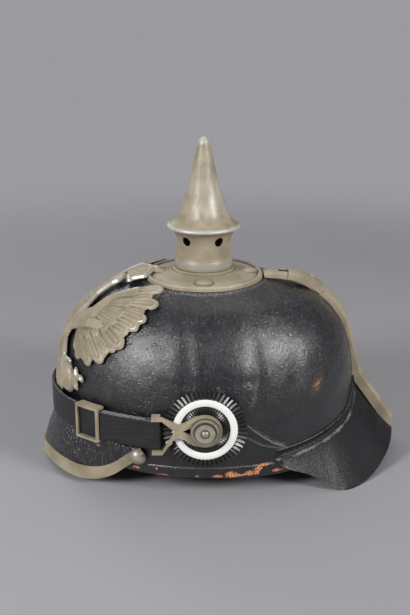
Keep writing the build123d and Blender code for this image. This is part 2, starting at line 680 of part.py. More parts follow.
with BuildPart() as spine:
    with BuildLine(Plane.YZ) as crest:
        CenterArc((spine_arc_y, spine_arc_z), spine_radius, start_angle, spine_arc_end - start_angle)
        FilletPolyline(crest_foot, crest_knee, crest_end, radius=spine_knee_radius)
    with BuildSketch(arc_plane(start_angle)):
        add(channel_face(spine_base - spine_skirt, 0))
        add(channel_face(spine_base - spine_skirt, -spine_wall), mode=Mode.SUBTRACT)
    sweep(path=crest.wires()[0])
    hook_plane, hook_edge, hook_seam = guard_places[len(guard_stations) - 1]
    hook_foot = (hook_edge[0] - guard_wall, hook_edge[1])
    hook_root = (hook_seam[0] - sewing_depth, hook_seam[1])
    hook_lip = (hook_seam[0] + guard_wall, hook_seam[1])
    with BuildSketch(hook_plane):
        with BuildLine():
            Polyline(sheet_point(hook_foot, hook_root, guard_bow_share, spine_hook_reach, -spine_hook_wall),
                     (hook_foot[0] - spine_hook_wall, hook_foot[1] - spine_hook_wall),
                     (hook_edge[0] + spine_hook_wall, hook_edge[1] - spine_hook_wall),
                     sheet_point(hook_edge, hook_lip, guard_bow_share, spine_hook_top, spine_hook_wall),
                     sheet_point(hook_edge, hook_lip, guard_bow_share, spine_hook_top, 0),
                     sheet_point(hook_foot, hook_root, guard_bow_share, spine_hook_reach, 0), close=True)
        make_face()
    extrude(amount=spine_width / 2, both=True)
    add(skull_outside, mode=Mode.SUBTRACT)
    add(neck_guard.part, mode=Mode.SUBTRACT)
    with BuildSketch(arc_plane(slot_rear)):
        with Locations((0, spine_radius)):
            Rectangle(slot_width, 2 * spine_dome + spine_wall)
    revolve(axis=arc_axis, revolution_arc=slot_front - slot_rear, mode=Mode.SUBTRACT)
spine.part.label = "spine"
export_step(spine.part, "parts/spine.step")

# Screw that holds the spine to the skull, with its nut inside the dome
screw_reach = spine_radius - spine_wall - spine_screw_length

with BuildPart() as spine_screw:
    with BuildSketch(screw_plane.offset(screw_reach)):
        Circle(screw_radius)
    extrude(amount=spine_screw_length)
    add(spine.part, mode=Mode.SUBTRACT)
spine_screw.part.label = "spine_screw"
export_step(spine_screw.part, "parts/spine_screw.step")

with BuildPart() as spine_nut:
    with BuildSketch(screw_plane.offset(screw_reach + screw_tail)):
        RegularPolygon(nut_radius, 6)
        Circle(screw_radius, mode=Mode.SUBTRACT)
    extrude(amount=spine_screw_length)
    add(skull_inside, mode=Mode.INTERSECT)
spine_nut.part.label = "spine_nut"
export_step(spine_nut.part, "parts/spine_nut.step")

# Vent slide: a sleeve that wraps the spine, and its knob
knob_direction = (0, cos(radians(knob_angle)), sin(radians(knob_angle)))
slide_top = spine_radius + seat_gap + slide_wall
skull_clearance = dome(2 * seat_gap)
knob_plane = Plane(origin=(0, spine_arc_y + slide_top * knob_direction[1],
                           spine_arc_z + slide_top * knob_direction[2]),
                   x_dir=(1, 0, 0), z_dir=knob_direction)

with BuildPart() as vent_slide:
    with BuildSketch(arc_plane(slide_rear)):
        add(channel_face(spine_base, seat_gap + slide_wall))
        add(channel_face(spine_base, seat_gap), mode=Mode.SUBTRACT)
    revolve(axis=arc_axis, revolution_arc=slide_front - slide_rear)
    for step in range(3):
        add(skull_clearance.rotate(arc_axis, -step * slide_travel / 2), mode=Mode.SUBTRACT)
    with BuildSketch(knob_plane.offset(-slide_wall)):
        Circle(knob_radius / 2)
    extrude(amount=2 * slide_wall, mode=Mode.SUBTRACT)
vent_slide.part.label = "vent_slide"
export_step(vent_slide.part, "parts/vent_slide.step")

with BuildPart() as vent_slide_knob:
    add(domed_stud(knob_plane, knob_radius, knob_rise, -slide_wall / 2, knob_radius / 2, slide_wall))
    add(vent_slide.part, mode=Mode.SUBTRACT)
vent_slide_knob.part.label = "vent_slide_knob"
export_step(vent_slide_knob.part, "parts/vent_slide_knob.step")

# Cockades: fluted discs with a flat ring, one behind each side post
cockade_face = cockade_back + cockade_sheet
flute_angle = 360 / cockade_flutes


def side_plane(side, distance):
    """Upright plane facing out of one side of the helmet, centred on the post."""
    return Plane(origin=(side * distance, post_y, post_z), x_dir=(0, 1, 0), z_dir=(side, 0, 0))


def cockade(side):
    """One cockade, with the same flutes raised inside and outside its flat ring."""
    rim = []
    for step in range(2 * cockade_flutes):
        radius = cockade_root_radius if step % 2 else cockade_radius
        angle = radians(step * flute_angle / 2)
        rim.append((radius * cos(angle), radius * sin(angle)))
    with BuildPart() as disc:
        with BuildSketch(side_plane(side, cockade_back)):
            Polygon(*rim, align=None)
            Circle(stud_shank_radius, mode=Mode.SUBTRACT)
        extrude(amount=cockade_sheet)
        with BuildSketch(side_plane(side, cockade_face)):
            Circle(cockade_ring_outer)
            Circle(cockade_ring_inner, mode=Mode.SUBTRACT)
        extrude(amount=cockade_ring)
        with BuildSketch(side_plane(side, cockade_face)):
            Circle(cockade_boss_radius)
            Circle(stud_shank_radius, mode=Mode.SUBTRACT)
        extrude(amount=post_seat_height - cockade_face)
        with BuildSketch(side_plane(side, cockade_face)):
            for inner, outer in ((cockade_boss_radius, cockade_ring_inner),
                                 (cockade_ring_outer, cockade_root_radius)):
                start, end = inner - cockade_flute, outer - cockade_flute
                with PolarLocations((start + end) / 2, cockade_flutes):
                    Rectangle(end - start, cockade_flute_width * (start + end) / (2 * cockade_radius))
        extrude(amount=cockade_flute)
    return disc.part


with BuildPart() as cockade_left:
    add(cockade(1))
cockade_left.part.label = "cockade_left"
export_step(cockade_left.part, "parts/cockade_left.step")

with BuildPart() as cockade_right:
    mirror(cockade_left.part, about=Plane.YZ)
cockade_right.part.label = "cockade_right"
export_step(cockade_right.part, "parts/cockade_right.step")

# Side posts, with split legs spread inside the skull over a washer
post_foot = skull_half_width - skull_wall - washer_wall


def side_post(side):
    """One side post: stepped head, pillar that the hook turns on, shank and split legs."""
    steps = [(0, post_foot), (stud_shank_radius, post_foot), (stud_shank_radius, post_seat_height),
             (post_neck_radius, post_seat_height), (post_neck_radius, post_head),
             (post_head_radius, post_head),
             (post_head_radius, post_head + post_head_wall), (post_step_radius, post_head + post_head_wall),
             (post_step_radius, post_head + post_head_wall + post_step),
             (post_knob_radius, post_head + post_head_wall + post_step)]
    top = post_head + post_head_wall + post_step + post_knob
    with BuildPart() as post:
        with BuildSketch(Plane(origin=(0, post_y, post_z), x_dir=(0, 1, 0), z_dir=(0, 0, -side))):
            with BuildLine():
                Polyline(*steps)
                RadiusArc(steps[-1], (0, top), -(post_knob_radius ** 2 + post_knob ** 2) / (2 * post_knob))
                Line((0, top), steps[0])
            make_face()
        revolve(axis=Axis((0, post_y, post_z), (1, 0, 0)))
        with BuildSketch(side_plane(side, post_foot)):
            Rectangle(2 * leg_length, leg_width)
        extrude(amount=-leg_wall)
    return post.part


with BuildPart() as side_post_left:
    add(side_post(1))
side_post_left.part.label = "side_post_left"
export_step(side_post_left.part, "parts/side_post_left.step")

with BuildPart() as side_post_right:
    mirror(side_post_left.part, about=Plane.YZ)
side_post_right.part.label = "side_post_right"
export_step(side_post_right.part, "parts/side_post_right.step")

with BuildPart() as side_post_washers:
    for side in (1, -1):
        with BuildSketch(side_plane(side, post_foot)):
            Circle(washer_radius)
            Circle(stud_shank_radius, mode=Mode.SUBTRACT)
        extrude(amount=skull_wall)
    add(skull_inside, mode=Mode.INTERSECT)
side_post_washers.part.label = "side_post_washers"
export_step(side_post_washers.part, "parts/side_post_washers.step")

# Chin strap: one band round the front, folded back over a bar of each hook
front_arc_y = strap_front_radius - strap_front_reach
side_arc_x = -(strap_side_radius - strap_front_radius) * cos(radians(strap_turn))
side_arc_y = front_arc_y + (strap_side_radius - strap_front_radius) * sin(radians(strap_turn))
strap_foot = strap_middle - strap_width / 2
lap_inner = strap_side_radius + strap_layer_gap
fold_radius = strap_side_radius + strap_layer_gap / 2
fold_x = side_arc_x + fold_radius * cos(radians(strap_lap_start))
fold_y = side_arc_y - fold_radius * sin(radians(strap_lap_start))


def band(centre, inner, outer, start, turn):
    """A flat band round a centre, from a start angle through a turn."""
    with BuildSketch() as sketch:
        with BuildLine():
            far = CenterArc(centre, outer, start, turn)
            near = CenterArc(centre, inner, start, turn)
            Line(far @ 0, near @ 0)
            Line(far @ 1, near @ 1)
        make_face()
    return sketch.sketch


def side_band(side, inner, outer, start, end):
    """A flat band on the strap's side arc, between two angles before level."""
    first = -end if side > 0 else 180 + start
    return band((side * side_arc_x, side_arc_y), inner, outer, first, end - start)


with BuildPart() as chin_strap:
    with BuildSketch(Plane.XY.offset(strap_foot)):
        add(band((0, front_arc_y), strap_front_radius - strap_wall, strap_front_radius,
                 180 + strap_turn, 180 - 2 * strap_turn))
        for side in (1, -1):
            add(side_band(side, strap_side_radius - strap_wall, strap_side_radius,
                          strap_lap_start, strap_turn))
            add(side_band(side, lap_inner, lap_inner + strap_wall, strap_lap_start, strap_lap_end))
        with Locations((fold_x, fold_y), (-fold_x, fold_y)):
            Circle(hook_bar_radius + fold_wall)
            Circle(hook_bar_radius, mode=Mode.SUBTRACT)
    extrude(amount=strap_width)
chin_strap.part.label = "chin_strap"
export_step(chin_strap.part, "parts/chin_strap.step")

# Hooks that turn on the posts and carry the strap
arm_low = strap_foot - hook_strap_gap
arm_high = strap_foot + strap_width + hook_strap_gap


def hook(side):
    """One hook: a ring on the post, a plate, two arms and the bar inside the strap's fold."""
    rise_low, rise_high = arm_low - hook_arm - post_z, arm_high + hook_arm - post_z
    with BuildPart() as body:
        with BuildSketch(side_plane(side, hook_face)):
            Circle(hook_ring_radius)
            upper = [(-x * hook_body_rear, y * hook_body_rear) for x, y in hook_edge_shares]
            lower = [(x, -y) for x, y in reversed(upper)]
            Polygon(*upper, (-hook_body_rear, rise_high), (-hook_body_rear, rise_high - hook_arm),
                    (-hook_fork, 0), (-hook_body_rear, rise_low + hook_arm), (-hook_body_rear, rise_low),
                    *lower, align=None)
            Circle(post_neck_radius + hook_clearance, mode=Mode.SUBTRACT)
            Polygon((-hook_notch_front, 0), (-hook_notch_rear, hook_notch_half),
                    (-hook_notch_rear, -hook_notch_half), align=None, mode=Mode.SUBTRACT)
            for low in (arm_low - hook_arm, arm_high):
                with BuildLine():
                    Polyline((-hook_arm_reach, low - post_z), (-hook_arm_reach, low + hook_arm - post_z),
                             (-hook_body_rear, low + hook_arm - post_z), (-hook_body_rear, low - post_z),
                             close=True)
                make_face()
        extrude(amount=hook_sheet)
        for low in (arm_low - hook_arm, arm_high):
            with BuildSketch(side_plane(side, hook_arm_foot)):
                middle = low + hook_arm / 2 - post_z
                with Locations((fold_y - post_y, middle)):
                    Rectangle(2 * (hook_arm_reach + fold_y - post_y), hook_arm)
            extrude(amount=hook_face - hook_arm_foot)
        with BuildSketch(Plane.XY.offset(arm_low)):
            with Locations((side * fold_x, fold_y)):
                Circle(hook_bar_radius)
        extrude(amount=arm_high - arm_low)
    return body.part


with BuildPart() as hook_left:
    add(hook(1))
hook_left.part.label = "hook_left"
export_step(hook_left.part, "parts/hook_left.step")

with BuildPart() as hook_right:
    mirror(hook_left.part, about=Plane.YZ)
hook_right.part.label = "hook_right"
export_step(hook_right.part, "parts/hook_right.step")


# Buckles that slide along the doubled part of the strap
def buckle(side):
    """One buckle: bars across the strap in front and behind, between two deep rails."""
    outer = lap_inner + strap_wall + buckle_gap
    inner = strap_side_radius - strap_wall - buckle_gap
    low = strap_foot - buckle_gap - buckle_rail
    high = strap_foot + strap_width + buckle_gap
    middle = (buckle_start + buckle_end) / 2
    with BuildPart() as frame:
        for foot in (low, high):
            with BuildSketch(Plane.XY.offset(foot)):
                add(side_band(side, inner - buckle_back_wall, outer + buckle_wall,
                              buckle_start, buckle_end))
            extrude(amount=buckle_rail)
        with BuildSketch(Plane.XY.offset(low)):
            add(side_band(side, outer, outer + buckle_wall, buckle_start, buckle_start + buckle_bar_angle))
            add(side_band(side, outer, outer + buckle_wall, buckle_end - buckle_bar_angle, buckle_end))
            add(side_band(side, inner - buckle_back_wall, inner,
                          middle - buckle_bar_angle, middle + buckle_bar_angle))
        extrude(amount=high - low)
    return frame.part


with BuildPart() as buckle_left:
    add(buckle(1))
buckle_left.part.label = "buckle_left"
export_step(buckle_left.part, "parts/buckle_left.step")

with BuildPart() as buckle_right:
    mirror(buckle_left.part, about=Plane.YZ)
buckle_right.part.label = "buckle_right"
export_step(buckle_right.part, "parts/buckle_right.step")

# Eagle plate: a flat outline thrown onto a shell that stands off the skull
def sized(points):
    """Turn shares of the plate's half width into lengths."""
    return [(x * plate_half_width, y * plate_half_width) for x, y in points]


def fill(points):
    """Draw one closed shape of the plate from shares."""
    Polygon(*sized(points), align=None)


def bar(x0, y0, x1, y1, width):
    """Draw a bar between two points, tapered towards its far end."""
    length = hypot(x1 - x0, y1 - y0)
    nx, ny = (y0 - y1) / length * width / 2, (x1 - x0) / length * width / 2
    fill(((x0 + nx, y0 + ny), (x0 - nx, y0 - ny), (x1 - nx / 2, y1 - ny / 2), (x1 + nx / 2, y1 + ny / 2)))


def oval(x, y, half_x, half_y):
    """Draw an oval of the plate from shares."""
    with Locations((x * plate_half_width, y * plate_half_width)):
        Ellipse(half_x * plate_half_width, half_y * plate_half_width)


def both_sides(shapes, draw):
    """Draw shapes and their mirror images across the plate's midline."""
    for side in (1, -1):
        for shape in shapes:
            if draw is fill:
                fill([(side * x, y) for x, y in shape])
            else:
                x0, y0, x1, y1, width = shape
                bar(side * x0, y0, side * x1, y1, width)


def plate_form(grow):
    """The part of the dome that the plate covers, grown outwards."""
    with BuildPart() as form:
        loft(sections=[oval_face(height, *skull_oval(height, grow)) for height in plate_levels])
    return form.part


plate_back = plate_form(plate_stand_off)
plate_front = plate_form(plate_stand_off + plate_wall)

with BuildPart() as plate_sheet:
    add(plate_front)
    add(plate_back, mode=Mode.SUBTRACT)

with BuildPart() as plate_raised:
    add(plate_form(plate_stand_off + plate_wall + plate_relief))
    add(plate_front, mode=Mode.SUBTRACT)

with BuildPart() as eagle_plate:
    with BuildSketch(plate_plane.offset(plate_depth_start)):
        both_sides((wing_shares, body_shares, tail_shares, leg_shares), fill)
        fill(beak_shares)
        oval(*breast_shares)
        oval(*orb_shares)
        for shape in cross_shares + (sceptre_shares,):
            bar(*shape)
    extrude(amount=plate_depth_limit - plate_depth_start)
    add(plate_sheet.part, mode=Mode.INTERSECT)
eagle_plate.part.label = "eagle_plate"
export_step(eagle_plate.part, "parts/eagle_plate.step")

with BuildPart() as eagle_relief:
    with BuildSketch(plate_plane.offset(plate_depth_start)):
        both_sides(feather_shares + shoulder_shares + banner_shares + tail_feather_shares + claw_shares,
                   bar)
        oval(*breast_shares)
        oval(*head_shares)
        fill(beak_shares)
        fill(crown_shares)
        oval(*orb_shares)
        for shape in cross_shares + (sceptre_shares,):
            bar(*shape)
    extrude(amount=plate_depth_limit - plate_depth_start)
    add(plate_raised.part, mode=Mode.INTERSECT)
eagle_relief.part.label = "eagle_relief"
export_step(eagle_relief.part, "parts/eagle_relief.step")


# Wire loops behind the plate and the leather wedges that lock them inside the skull
def plate_depth(x, y, grow):
    """Distance from the plate's plane, along its normal, to the skull grown outwards."""
    near, far = 0, plate_depth_limit
    tilt = radians(plate_tilt)
    for _ in range(40):
        depth = (near + far) / 2
        py = y * sin(tilt) - depth * cos(tilt)
        pz = y * cos(tilt) + depth * sin(tilt)
        inside = False
        if pz < crown_height:
            front, rear, side = skull_oval(pz, grow)
            inside = (x / side) ** 2 + ((py - (rear - front) / 2) / ((front + rear) / 2)) ** 2 < 1
        near, far = (depth, far) if inside else (near, depth)
    return near


with BuildPart() as plate_loops:
    for x, y in loop_places:
        depth = plate_depth(x, y, plate_stand_off + plate_wall / 2)
        with BuildSketch(Plane(origin=plate_plane.from_local_coords((x, y, depth - loop_length / 2)),
                               x_dir=(1, 0, 0), z_dir=plate_plane.y_dir)):
            Rectangle(loop_span + 2 * loop_wire, loop_length)
            Rectangle(loop_span, loop_length - 2 * loop_wire, mode=Mode.SUBTRACT)
        extrude(amount=loop_wire, both=True)
    add(plate_back, mode=Mode.INTERSECT)
plate_loops.part.label = "plate_loops"
export_step(plate_loops.part, "parts/plate_loops.step")

with BuildPart() as plate_wedges:
    for x, y in loop_places:
        depth = plate_depth(x, y, -skull_wall)
        with BuildSketch(Plane(origin=plate_plane.from_local_coords((x, y, depth - wedge_wall / 2)),
                               x_dir=(1, 0, 0), z_dir=plate_plane.y_dir).offset(-wedge_length / 2)):
            Rectangle(loop_span, wedge_wall)
        extrude(amount=wedge_length)
    add(skull_inside, mode=Mode.INTERSECT)
    add(plate_loops.part, mode=Mode.SUBTRACT)
plate_wedges.part.label = "plate_wedges"
export_step(plate_wedges.part, "parts/plate_wedges.step")


# Liner, with fingers whose tips meet the drawstring
def inset_oval(height, inset):
    """Front reach, rear reach and half width of a level inside the skull's inner face."""
    return [size - inset for size in skull_oval(height, -skull_wall)]


def liner_solid(inset):
    """The space inside the liner's outer face, or inside its inner face."""
    with BuildPart() as solid:
        loft(sections=[oval_face(height, *inset_oval(height, step + inset))
                       for height, step in zip(liner_levels, liner_insets)])
    return solid.part


liner_top = liner_levels[-1]
tip_front, tip_rear, tip_side = inset_oval(liner_top, liner_insets[-1] + liner_wall / 2)
tip_centre = (tip_rear - tip_front) / 2

with BuildPart() as liner:
    add(liner_solid(0))
    add(liner_solid(liner_wall), mode=Mode.SUBTRACT)
    for finger in range(finger_count):
        angle = radians(finger * 360 / finger_count)
        with BuildSketch(Plane(origin=(0, tip_centre, 0), x_dir=(-sin(angle), cos(angle), 0),
                               z_dir=(cos(angle), sin(angle), 0))):
            with BuildLine():
                Polyline((0, finger_root), (finger_gap, liner_top + overrun),
                         (-finger_gap, liner_top + overrun),
                         close=True)
            make_face()
        extrude(amount=nape_reach, mode=Mode.SUBTRACT)
    add(rim_cutter(liner_rim_margin), mode=Mode.SUBTRACT)
    add(skull.part, mode=Mode.SUBTRACT)
liner.part.label = "liner"
export_step(liner.part, "parts/liner.step")

with BuildPart() as liner_drawstring:
    with BuildLine(Plane.XY.offset(liner_top + cord_radius)) as ring:
        EllipticalCenterArc((0, tip_centre), tip_side, (tip_front + tip_rear) / 2, arc_size=360)
    with BuildSketch(Plane(origin=ring.edges()[0] @ 0, z_dir=ring.edges()[0] % 0)):
        Circle(cord_radius)
    sweep(path=ring.wires()[0])
liner_drawstring.part.label = "liner_drawstring"
export_step(liner_drawstring.part, "parts/liner_drawstring.step")
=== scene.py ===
"""A spiked leather helmet, dressed over its solid model: leather, field paint, steel and enamel."""

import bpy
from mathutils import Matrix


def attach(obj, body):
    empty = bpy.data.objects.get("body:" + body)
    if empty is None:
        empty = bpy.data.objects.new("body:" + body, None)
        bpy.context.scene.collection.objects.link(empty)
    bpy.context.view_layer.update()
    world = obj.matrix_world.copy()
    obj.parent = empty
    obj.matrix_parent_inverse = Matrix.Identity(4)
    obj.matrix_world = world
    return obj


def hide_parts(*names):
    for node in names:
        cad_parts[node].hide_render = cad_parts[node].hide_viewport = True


bl_info = {
    "name": "Spiked leather helmet",
    "version": (1, 0),
    "blender": (4, 5, 0),
    "location": "View3D > Sidebar > Helmet",
    "description": "Builds the leather, paint and metal of a spiked helmet over its solid model",
    "category": "Object",
}

from math import atan2, cos, degrees, exp, hypot, pi, radians, sin, sqrt

import bpy
import numpy as np
from bpy.props import FloatProperty, FloatVectorProperty, IntProperty, PointerProperty
from mathutils import Vector, noise

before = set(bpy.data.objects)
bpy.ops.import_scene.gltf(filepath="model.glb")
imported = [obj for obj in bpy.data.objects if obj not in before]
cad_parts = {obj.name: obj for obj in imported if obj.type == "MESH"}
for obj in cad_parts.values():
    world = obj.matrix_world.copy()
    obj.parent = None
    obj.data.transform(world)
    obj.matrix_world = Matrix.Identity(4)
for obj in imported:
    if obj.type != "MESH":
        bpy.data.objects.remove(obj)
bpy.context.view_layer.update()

# Lengths below are in millimetres, as in the part's source; MM turns them into metres.
MM = 0.001

# The skull's levels
BROW, NAPE, HALF_WIDTH = 113.5, 117.0, 91.5
POWERS = (2.4, 2.85, 2.6)
WIDEST, SHOULDER, CROWN, CROWN_RADIUS = 48.0, 134.0, 143.0, 45.0
CROWN_RISE, CAP_RISE = 101.0, 5.0
CREASE, RIM_TUCK, FOOT = 31.5, 1.5, 8.0
LEVEL_SHARES = (0.25, 0.45, 0.62, 0.77, 0.9, 1.0)
RIM = ((-121.5, 24.0), (-56.75, 18.0), (0.0, 16.6), (39.0, 15.2), (78.0, 18.0), (125.0, 42.0))
BINDING_TOP, BINDING_RISE = 25.0, 0.8
FOLD_UPPER = ((30.0, 57.5), (41.3, 47.8), (51.2, 40.4), (61.2, 35.0))
FOLD_LOWER = ((30.0, 48.0), (41.4, 40.6), (51.2, 37.1), (61.2, 34.0))
BINDING_LINE = ((-90.0, 24.6), (50.0, 24.6))
CREASE_LINE = ((37.0, 106.0), (38.5, 88.0), (36.0, 75.0), (33.0, 70.0))
# Lines that are scuffed grey, with their width and strength
SCUFFED_LINES = ((FOLD_UPPER, 0.8, 0.85), (FOLD_LOWER, 1.1, 0.6), (BINDING_LINE, 0.6, 0.45),
                 (CREASE_LINE, 2.2, 0.2))
# Upright creases: depth, place and width along the skull, height and length; and one level crease:
# depth, height and width, place along the skull and length
UPRIGHT_CREASES = ((1.1, 38, 5.5, 92, 26), (0.8, -10, 5, 100, 22), (0.7, 12, 6, 84, 18),
                   (0.8, 66, 5, 84, 22))
LEVEL_CREASE = (0.6, 88, 3.5, 10, 34)

# Patches of bare leather on the binding: place along the skull, height, half length and half height
BARE_PATCHES = ((9.4, 18.0, 5.6, 1.7), (19.7, 19.0, 6.4, 3.6), (27.0, 18.0, 4.2, 1.5),
                (33.1, 19.2, 4.8, 2.7), (38.2, 19.0, 3.6, 2.8), (40.0, 22.4, 3.8, 2.8),
                (44.5, 24.6, 5.4, 1.7), (53.0, 18.4, 4.2, 2.0), (57.5, 18.2, 3.6, 1.2),
                (-4.8, 17.8, 2.3, 1.6), (-34.8, 22.3, 1.8, 1.7), (-30.0, 17.8, 7.5, 0.9),
                (-49.0, 21.0, 4.4, 1.4))
BARE_TOP, BARE_SHIFT, BARE_STRENGTH = 30.0, 4, 0.69

# Where shade is painted on the metal: radii and widths of rings, and how fast a rubbed band fades
BASE_STUD_CIRCLE, BASE_STUD_RING = 34.0, (7.1, 0.7)
BASE_GROOVES, POST_GROOVES = ((41.2, 0.9), (24.4, 0.9)), ((10.8, 0.9), (7.7, 0.9), (3.0, 0.7))
BAND_FADE = 1.2
DISC_RIM, COLLAR = (145.0, 147.2, 0.25), (151.5, 158.8, 0.75)

# The flaps: angles from the midline, and there shares of the edge's reach, its height and the seam's height
VISOR_CENTRE, VISOR_WALL, VISOR_BAND, VISOR_BOW = -50.0, 2.5, 5.0, 0.05
VISOR_ANGLES = (0, 15, 30, 45, 60, 70, 80, 88, 93)
VISOR_REACH = (1, 0.97, 0.962, 0.976, 0.984, 0.972, 0.991, 1.036, 1.069)
VISOR_RISE = (0, 0.07, 0.155, 0.2, 0.21, 0.31, 0.61, 1, 1.17)
VISOR_SEAM = (1, 1, 0.95, 0.75, 0.5, 0.35, 0.2, 0, 0.1)
GUARD_CENTRE, GUARD_WALL, GUARD_BAND, GUARD_BOW = 55.0, 2.5, 8.0, -0.03
GUARD_ANGLES = (0, 10, 20, 30, 40, 50, 57, 63, 70, 77, 85, 92)
GUARD_REACH = (1, 0.995, 0.987, 0.977, 0.976, 0.981, 0.976, 0.934, 0.89, 0.88, 0.893, 0.893)
GUARD_RISE = (1, 0.87, 0.62, 0.35, 0.13, 0.02, 0, 0.15, 0.54, 0.82, 1.03, 1.13)
GUARD_SEAM = (1, 0.86, 0.63, 0.44, 0.34, 0.27, 0.21, 0.17, 0.12, 0.08, 0.03, 0)
# For reach, edge height and seam height: where they start, and how much a share of one adds
VISOR_SPANS, GUARD_SPANS = ((0, 79.3), (0.5, 24.5), (35.5, 5)), ((0, 95.8), (-0.4, 19.5), (27, 31))
VISOR_SKIVE, GUARD_SKIVE = 1.5, 5.0     # degrees over which the leather thins out at its ends
# The sewn band's top, as heights over it and how far they stand out, and places down the leather's faces
BAND_TOP, BAND_EDGE = ((0.3, -0.6), (0.1, 0.55), (-0.5, 1.15), (-1.3, 1.05), (-2.0, 0.55)), 2.0
BAND_SHARES, INNER_SHARES = (0.72, 0.5), (0.06, 0.2, 0.4, 0.6, 0.8, 1.0)
OUTER_SHARES = (1.0, 0.93, 0.85, 0.76, 0.66, 0.55, 0.44, 0.33, 0.23, 0.14, 0.07, 0.03)
STITCH_SHARE, STITCH_RADIUS = 0.38, 0.5

# The chin strap in plan
STRAP_LOW, STRAP_HIGH, STRAP_WALL = 41.0, 63.0, 2.0
STRAP_FRONT_RADIUS, STRAP_FRONT_REACH, STRAP_SIDE_RADIUS = 84.0, 119.8, 120.0
STRAP_TURN, STRAP_START, STRAP_END, STRAP_GAP = 44.0, 11.1, 44.0, 0.4
BAR_RADIUS = 1.6

# Side posts and cockades
POST_Y, POST_Z = 1.0, 55.8
COCKADE_BACK, COCKADE_RADIUS, COCKADE_BOSS = 92.2, 29.85, 8.4
RING_OUTER, RING_INNER, RING_EDGE, RING_HEIGHT, RING_SWELL = 23.15, 17.95, 1.6, 1.35, 0.55
COCKADE_RADII = (COCKADE_BOSS, 10, 12, 14, 16, 17.4, RING_INNER, RING_INNER + 0.25, RING_INNER + RING_EDGE,
                 RING_OUTER - RING_EDGE, RING_OUTER - 0.25, RING_OUTER, RING_OUTER + 0.5,
                 24.4, 25.6, 26.8, 28, 29.2, 30.2)
PLEAT_FOOT, PLEAT_DEPTH, PLEAT_SLOPE, PLEAT_NOTCH = 0.75, 1.15, 0.9, 2.2
COCKADE_GAP, COCKADE_TIN = 0.2, 0.45
# Enamels: colour, colour where it is chipped and how mottled it is
BLACK = ((0.011, 0.011, 0.012), (0.5, 0.5, 0.485), 0.3)
WHITE = ((0.80, 0.79, 0.75), (0.35, 0.33, 0.3), 0.16)
RED = ((0.30, 0.022, 0.016), (0.5, 0.42, 0.38), 0.3)

# The eagle plate, drawn on a plane that leans back with the brow, in shares of its half width
PLATE_TILT, PLATE_HALF, PLATE_OFF = radians(40.0), 67.0, 3.3
PLATE_SPAN, PLATE_HEIGHT, PLATE_RISE = 2.06, 1.86, 0.44

# The liner
LINER_LEVELS = (18.0, 30.0, 44.0, 60.0, 72.0, 88.0, 100.0, 108.0)
LINER_INSETS = (0.3, 0.9, 3.6, 4.8, 6.5, 14.0, 27.0, 42.0)
FINGERS, LINER_WALL, LINER_SHOWN = 9, 1.4, 1.3     # the wall of the solid, and the leather that shows
CORD_HEIGHT, CORD_STRAND, CORD_TURNS = 109.1, 0.55, 34

# The camera and the lamps: name, place, aim, width and watts. Lengths here are in metres.
CAMERA_PLACE, CAMERA_LEAN, LENS, SENSOR = (0.750, 0.00085, 0.359), 17.9, 59.3, 36.0
LAMPS = (("lamp_front", (0.91, -1.09, 0.77), (0.07, -0.04, 0.1), 0.5, 20.5),
         ("lamp_rear", (0.91, 1.10, 0.77), (0.07, 0.05, 0.1), 0.5, 19.0),
         ("lamp_top", (-0.5, 0.1, 1.9), (0, 0, 0.1), 1.5, 6.5),
         ("lamp_right", (-1.7, -0.9, 1.1), (0, 0, 0.1), 0.9, 7.0))
WORLD_LIGHT, WORLD_SEEN = ((0.86, 0.87, 0.9, 1), 0.2), ((0.33, 0.328, 0.348, 1), 1.0)    # colour, strength
FLOOR_RADIUS, FLOOR_FADE = 1.6, (0.55, 1.15)
SEAM_MERGE = 2e-6       # points of a closed grid's seam that lie nearer than this are joined


# Shapes shared by several pieces

def reach(full, power, rise):
    """Half size of the dome at a share of its rise."""
    return full * max(1 - rise ** power, 0) ** (1 / power)


def skull_oval(height, grow=0.0):
    """Front reach, rear reach and half width of the skull at a height, grown outwards."""
    rise = max(height - WIDEST, 0) / (CROWN_RISE + grow)
    return tuple(reach(full + grow, power, rise) for full, power in zip((BROW, NAPE, HALF_WIDTH), POWERS))


def through(points, share):
    """A point on a smooth curve through points, at a share of the way counted in points."""
    last = len(points) - 1
    place = min(max(share, 0.0), 1.0) * last
    i = min(int(place), last - 1)
    t = place - i
    p1, p2 = np.array(points[i], float), np.array(points[i + 1], float)
    p0 = np.array(points[i - 1], float) if i > 0 else 2 * p1 - p2
    p3 = np.array(points[i + 2], float) if i + 2 <= last else 2 * p2 - p1
    return p1 + 0.5 * t * (p2 - p0 + t * (2 * p0 - 5 * p1 + 4 * p2 - p3 + t * (3 * (p1 - p2) + p3 - p0)))


def at(xs, ys, x):
    """The value at x of a smooth curve through the points of two lists, where xs rise."""
    i = min(max(int(np.searchsorted(xs, x)) - 1, 0), len(xs) - 2)
    t = (x - xs[i]) / (xs[i + 1] - xs[i])
    return float(through(list(zip(ys)), (i + min(max(t, 0.0), 1.0)) / (len(xs) - 1))[0])


def skull_levels(grow=0.0):
    """The dome's levels from the widest one to the crown: height, front, rear and side."""
    heights = [WIDEST] + [WIDEST + (SHOULDER + grow - WIDEST) * s for s in LEVEL_SHARES]
    levels = [(h, *skull_oval(h, grow)) for h in heights]
    return levels + [(CROWN + grow, CROWN_RADIUS, CROWN_RADIUS, CROWN_RADIUS)]


def cap_height(radius):
    """Height of the shallow cap under the spike base."""
    sphere = (CROWN_RADIUS ** 2 + CAP_RISE ** 2) / (2 * CAP_RISE)
    return CROWN + CAP_RISE - sphere + sqrt(sphere ** 2 - radius ** 2)


def height_along(points, y):
    """Height of a line of points above a point of the skull's length."""
    return at([p[0] for p in points], [p[1] for p in points], y)


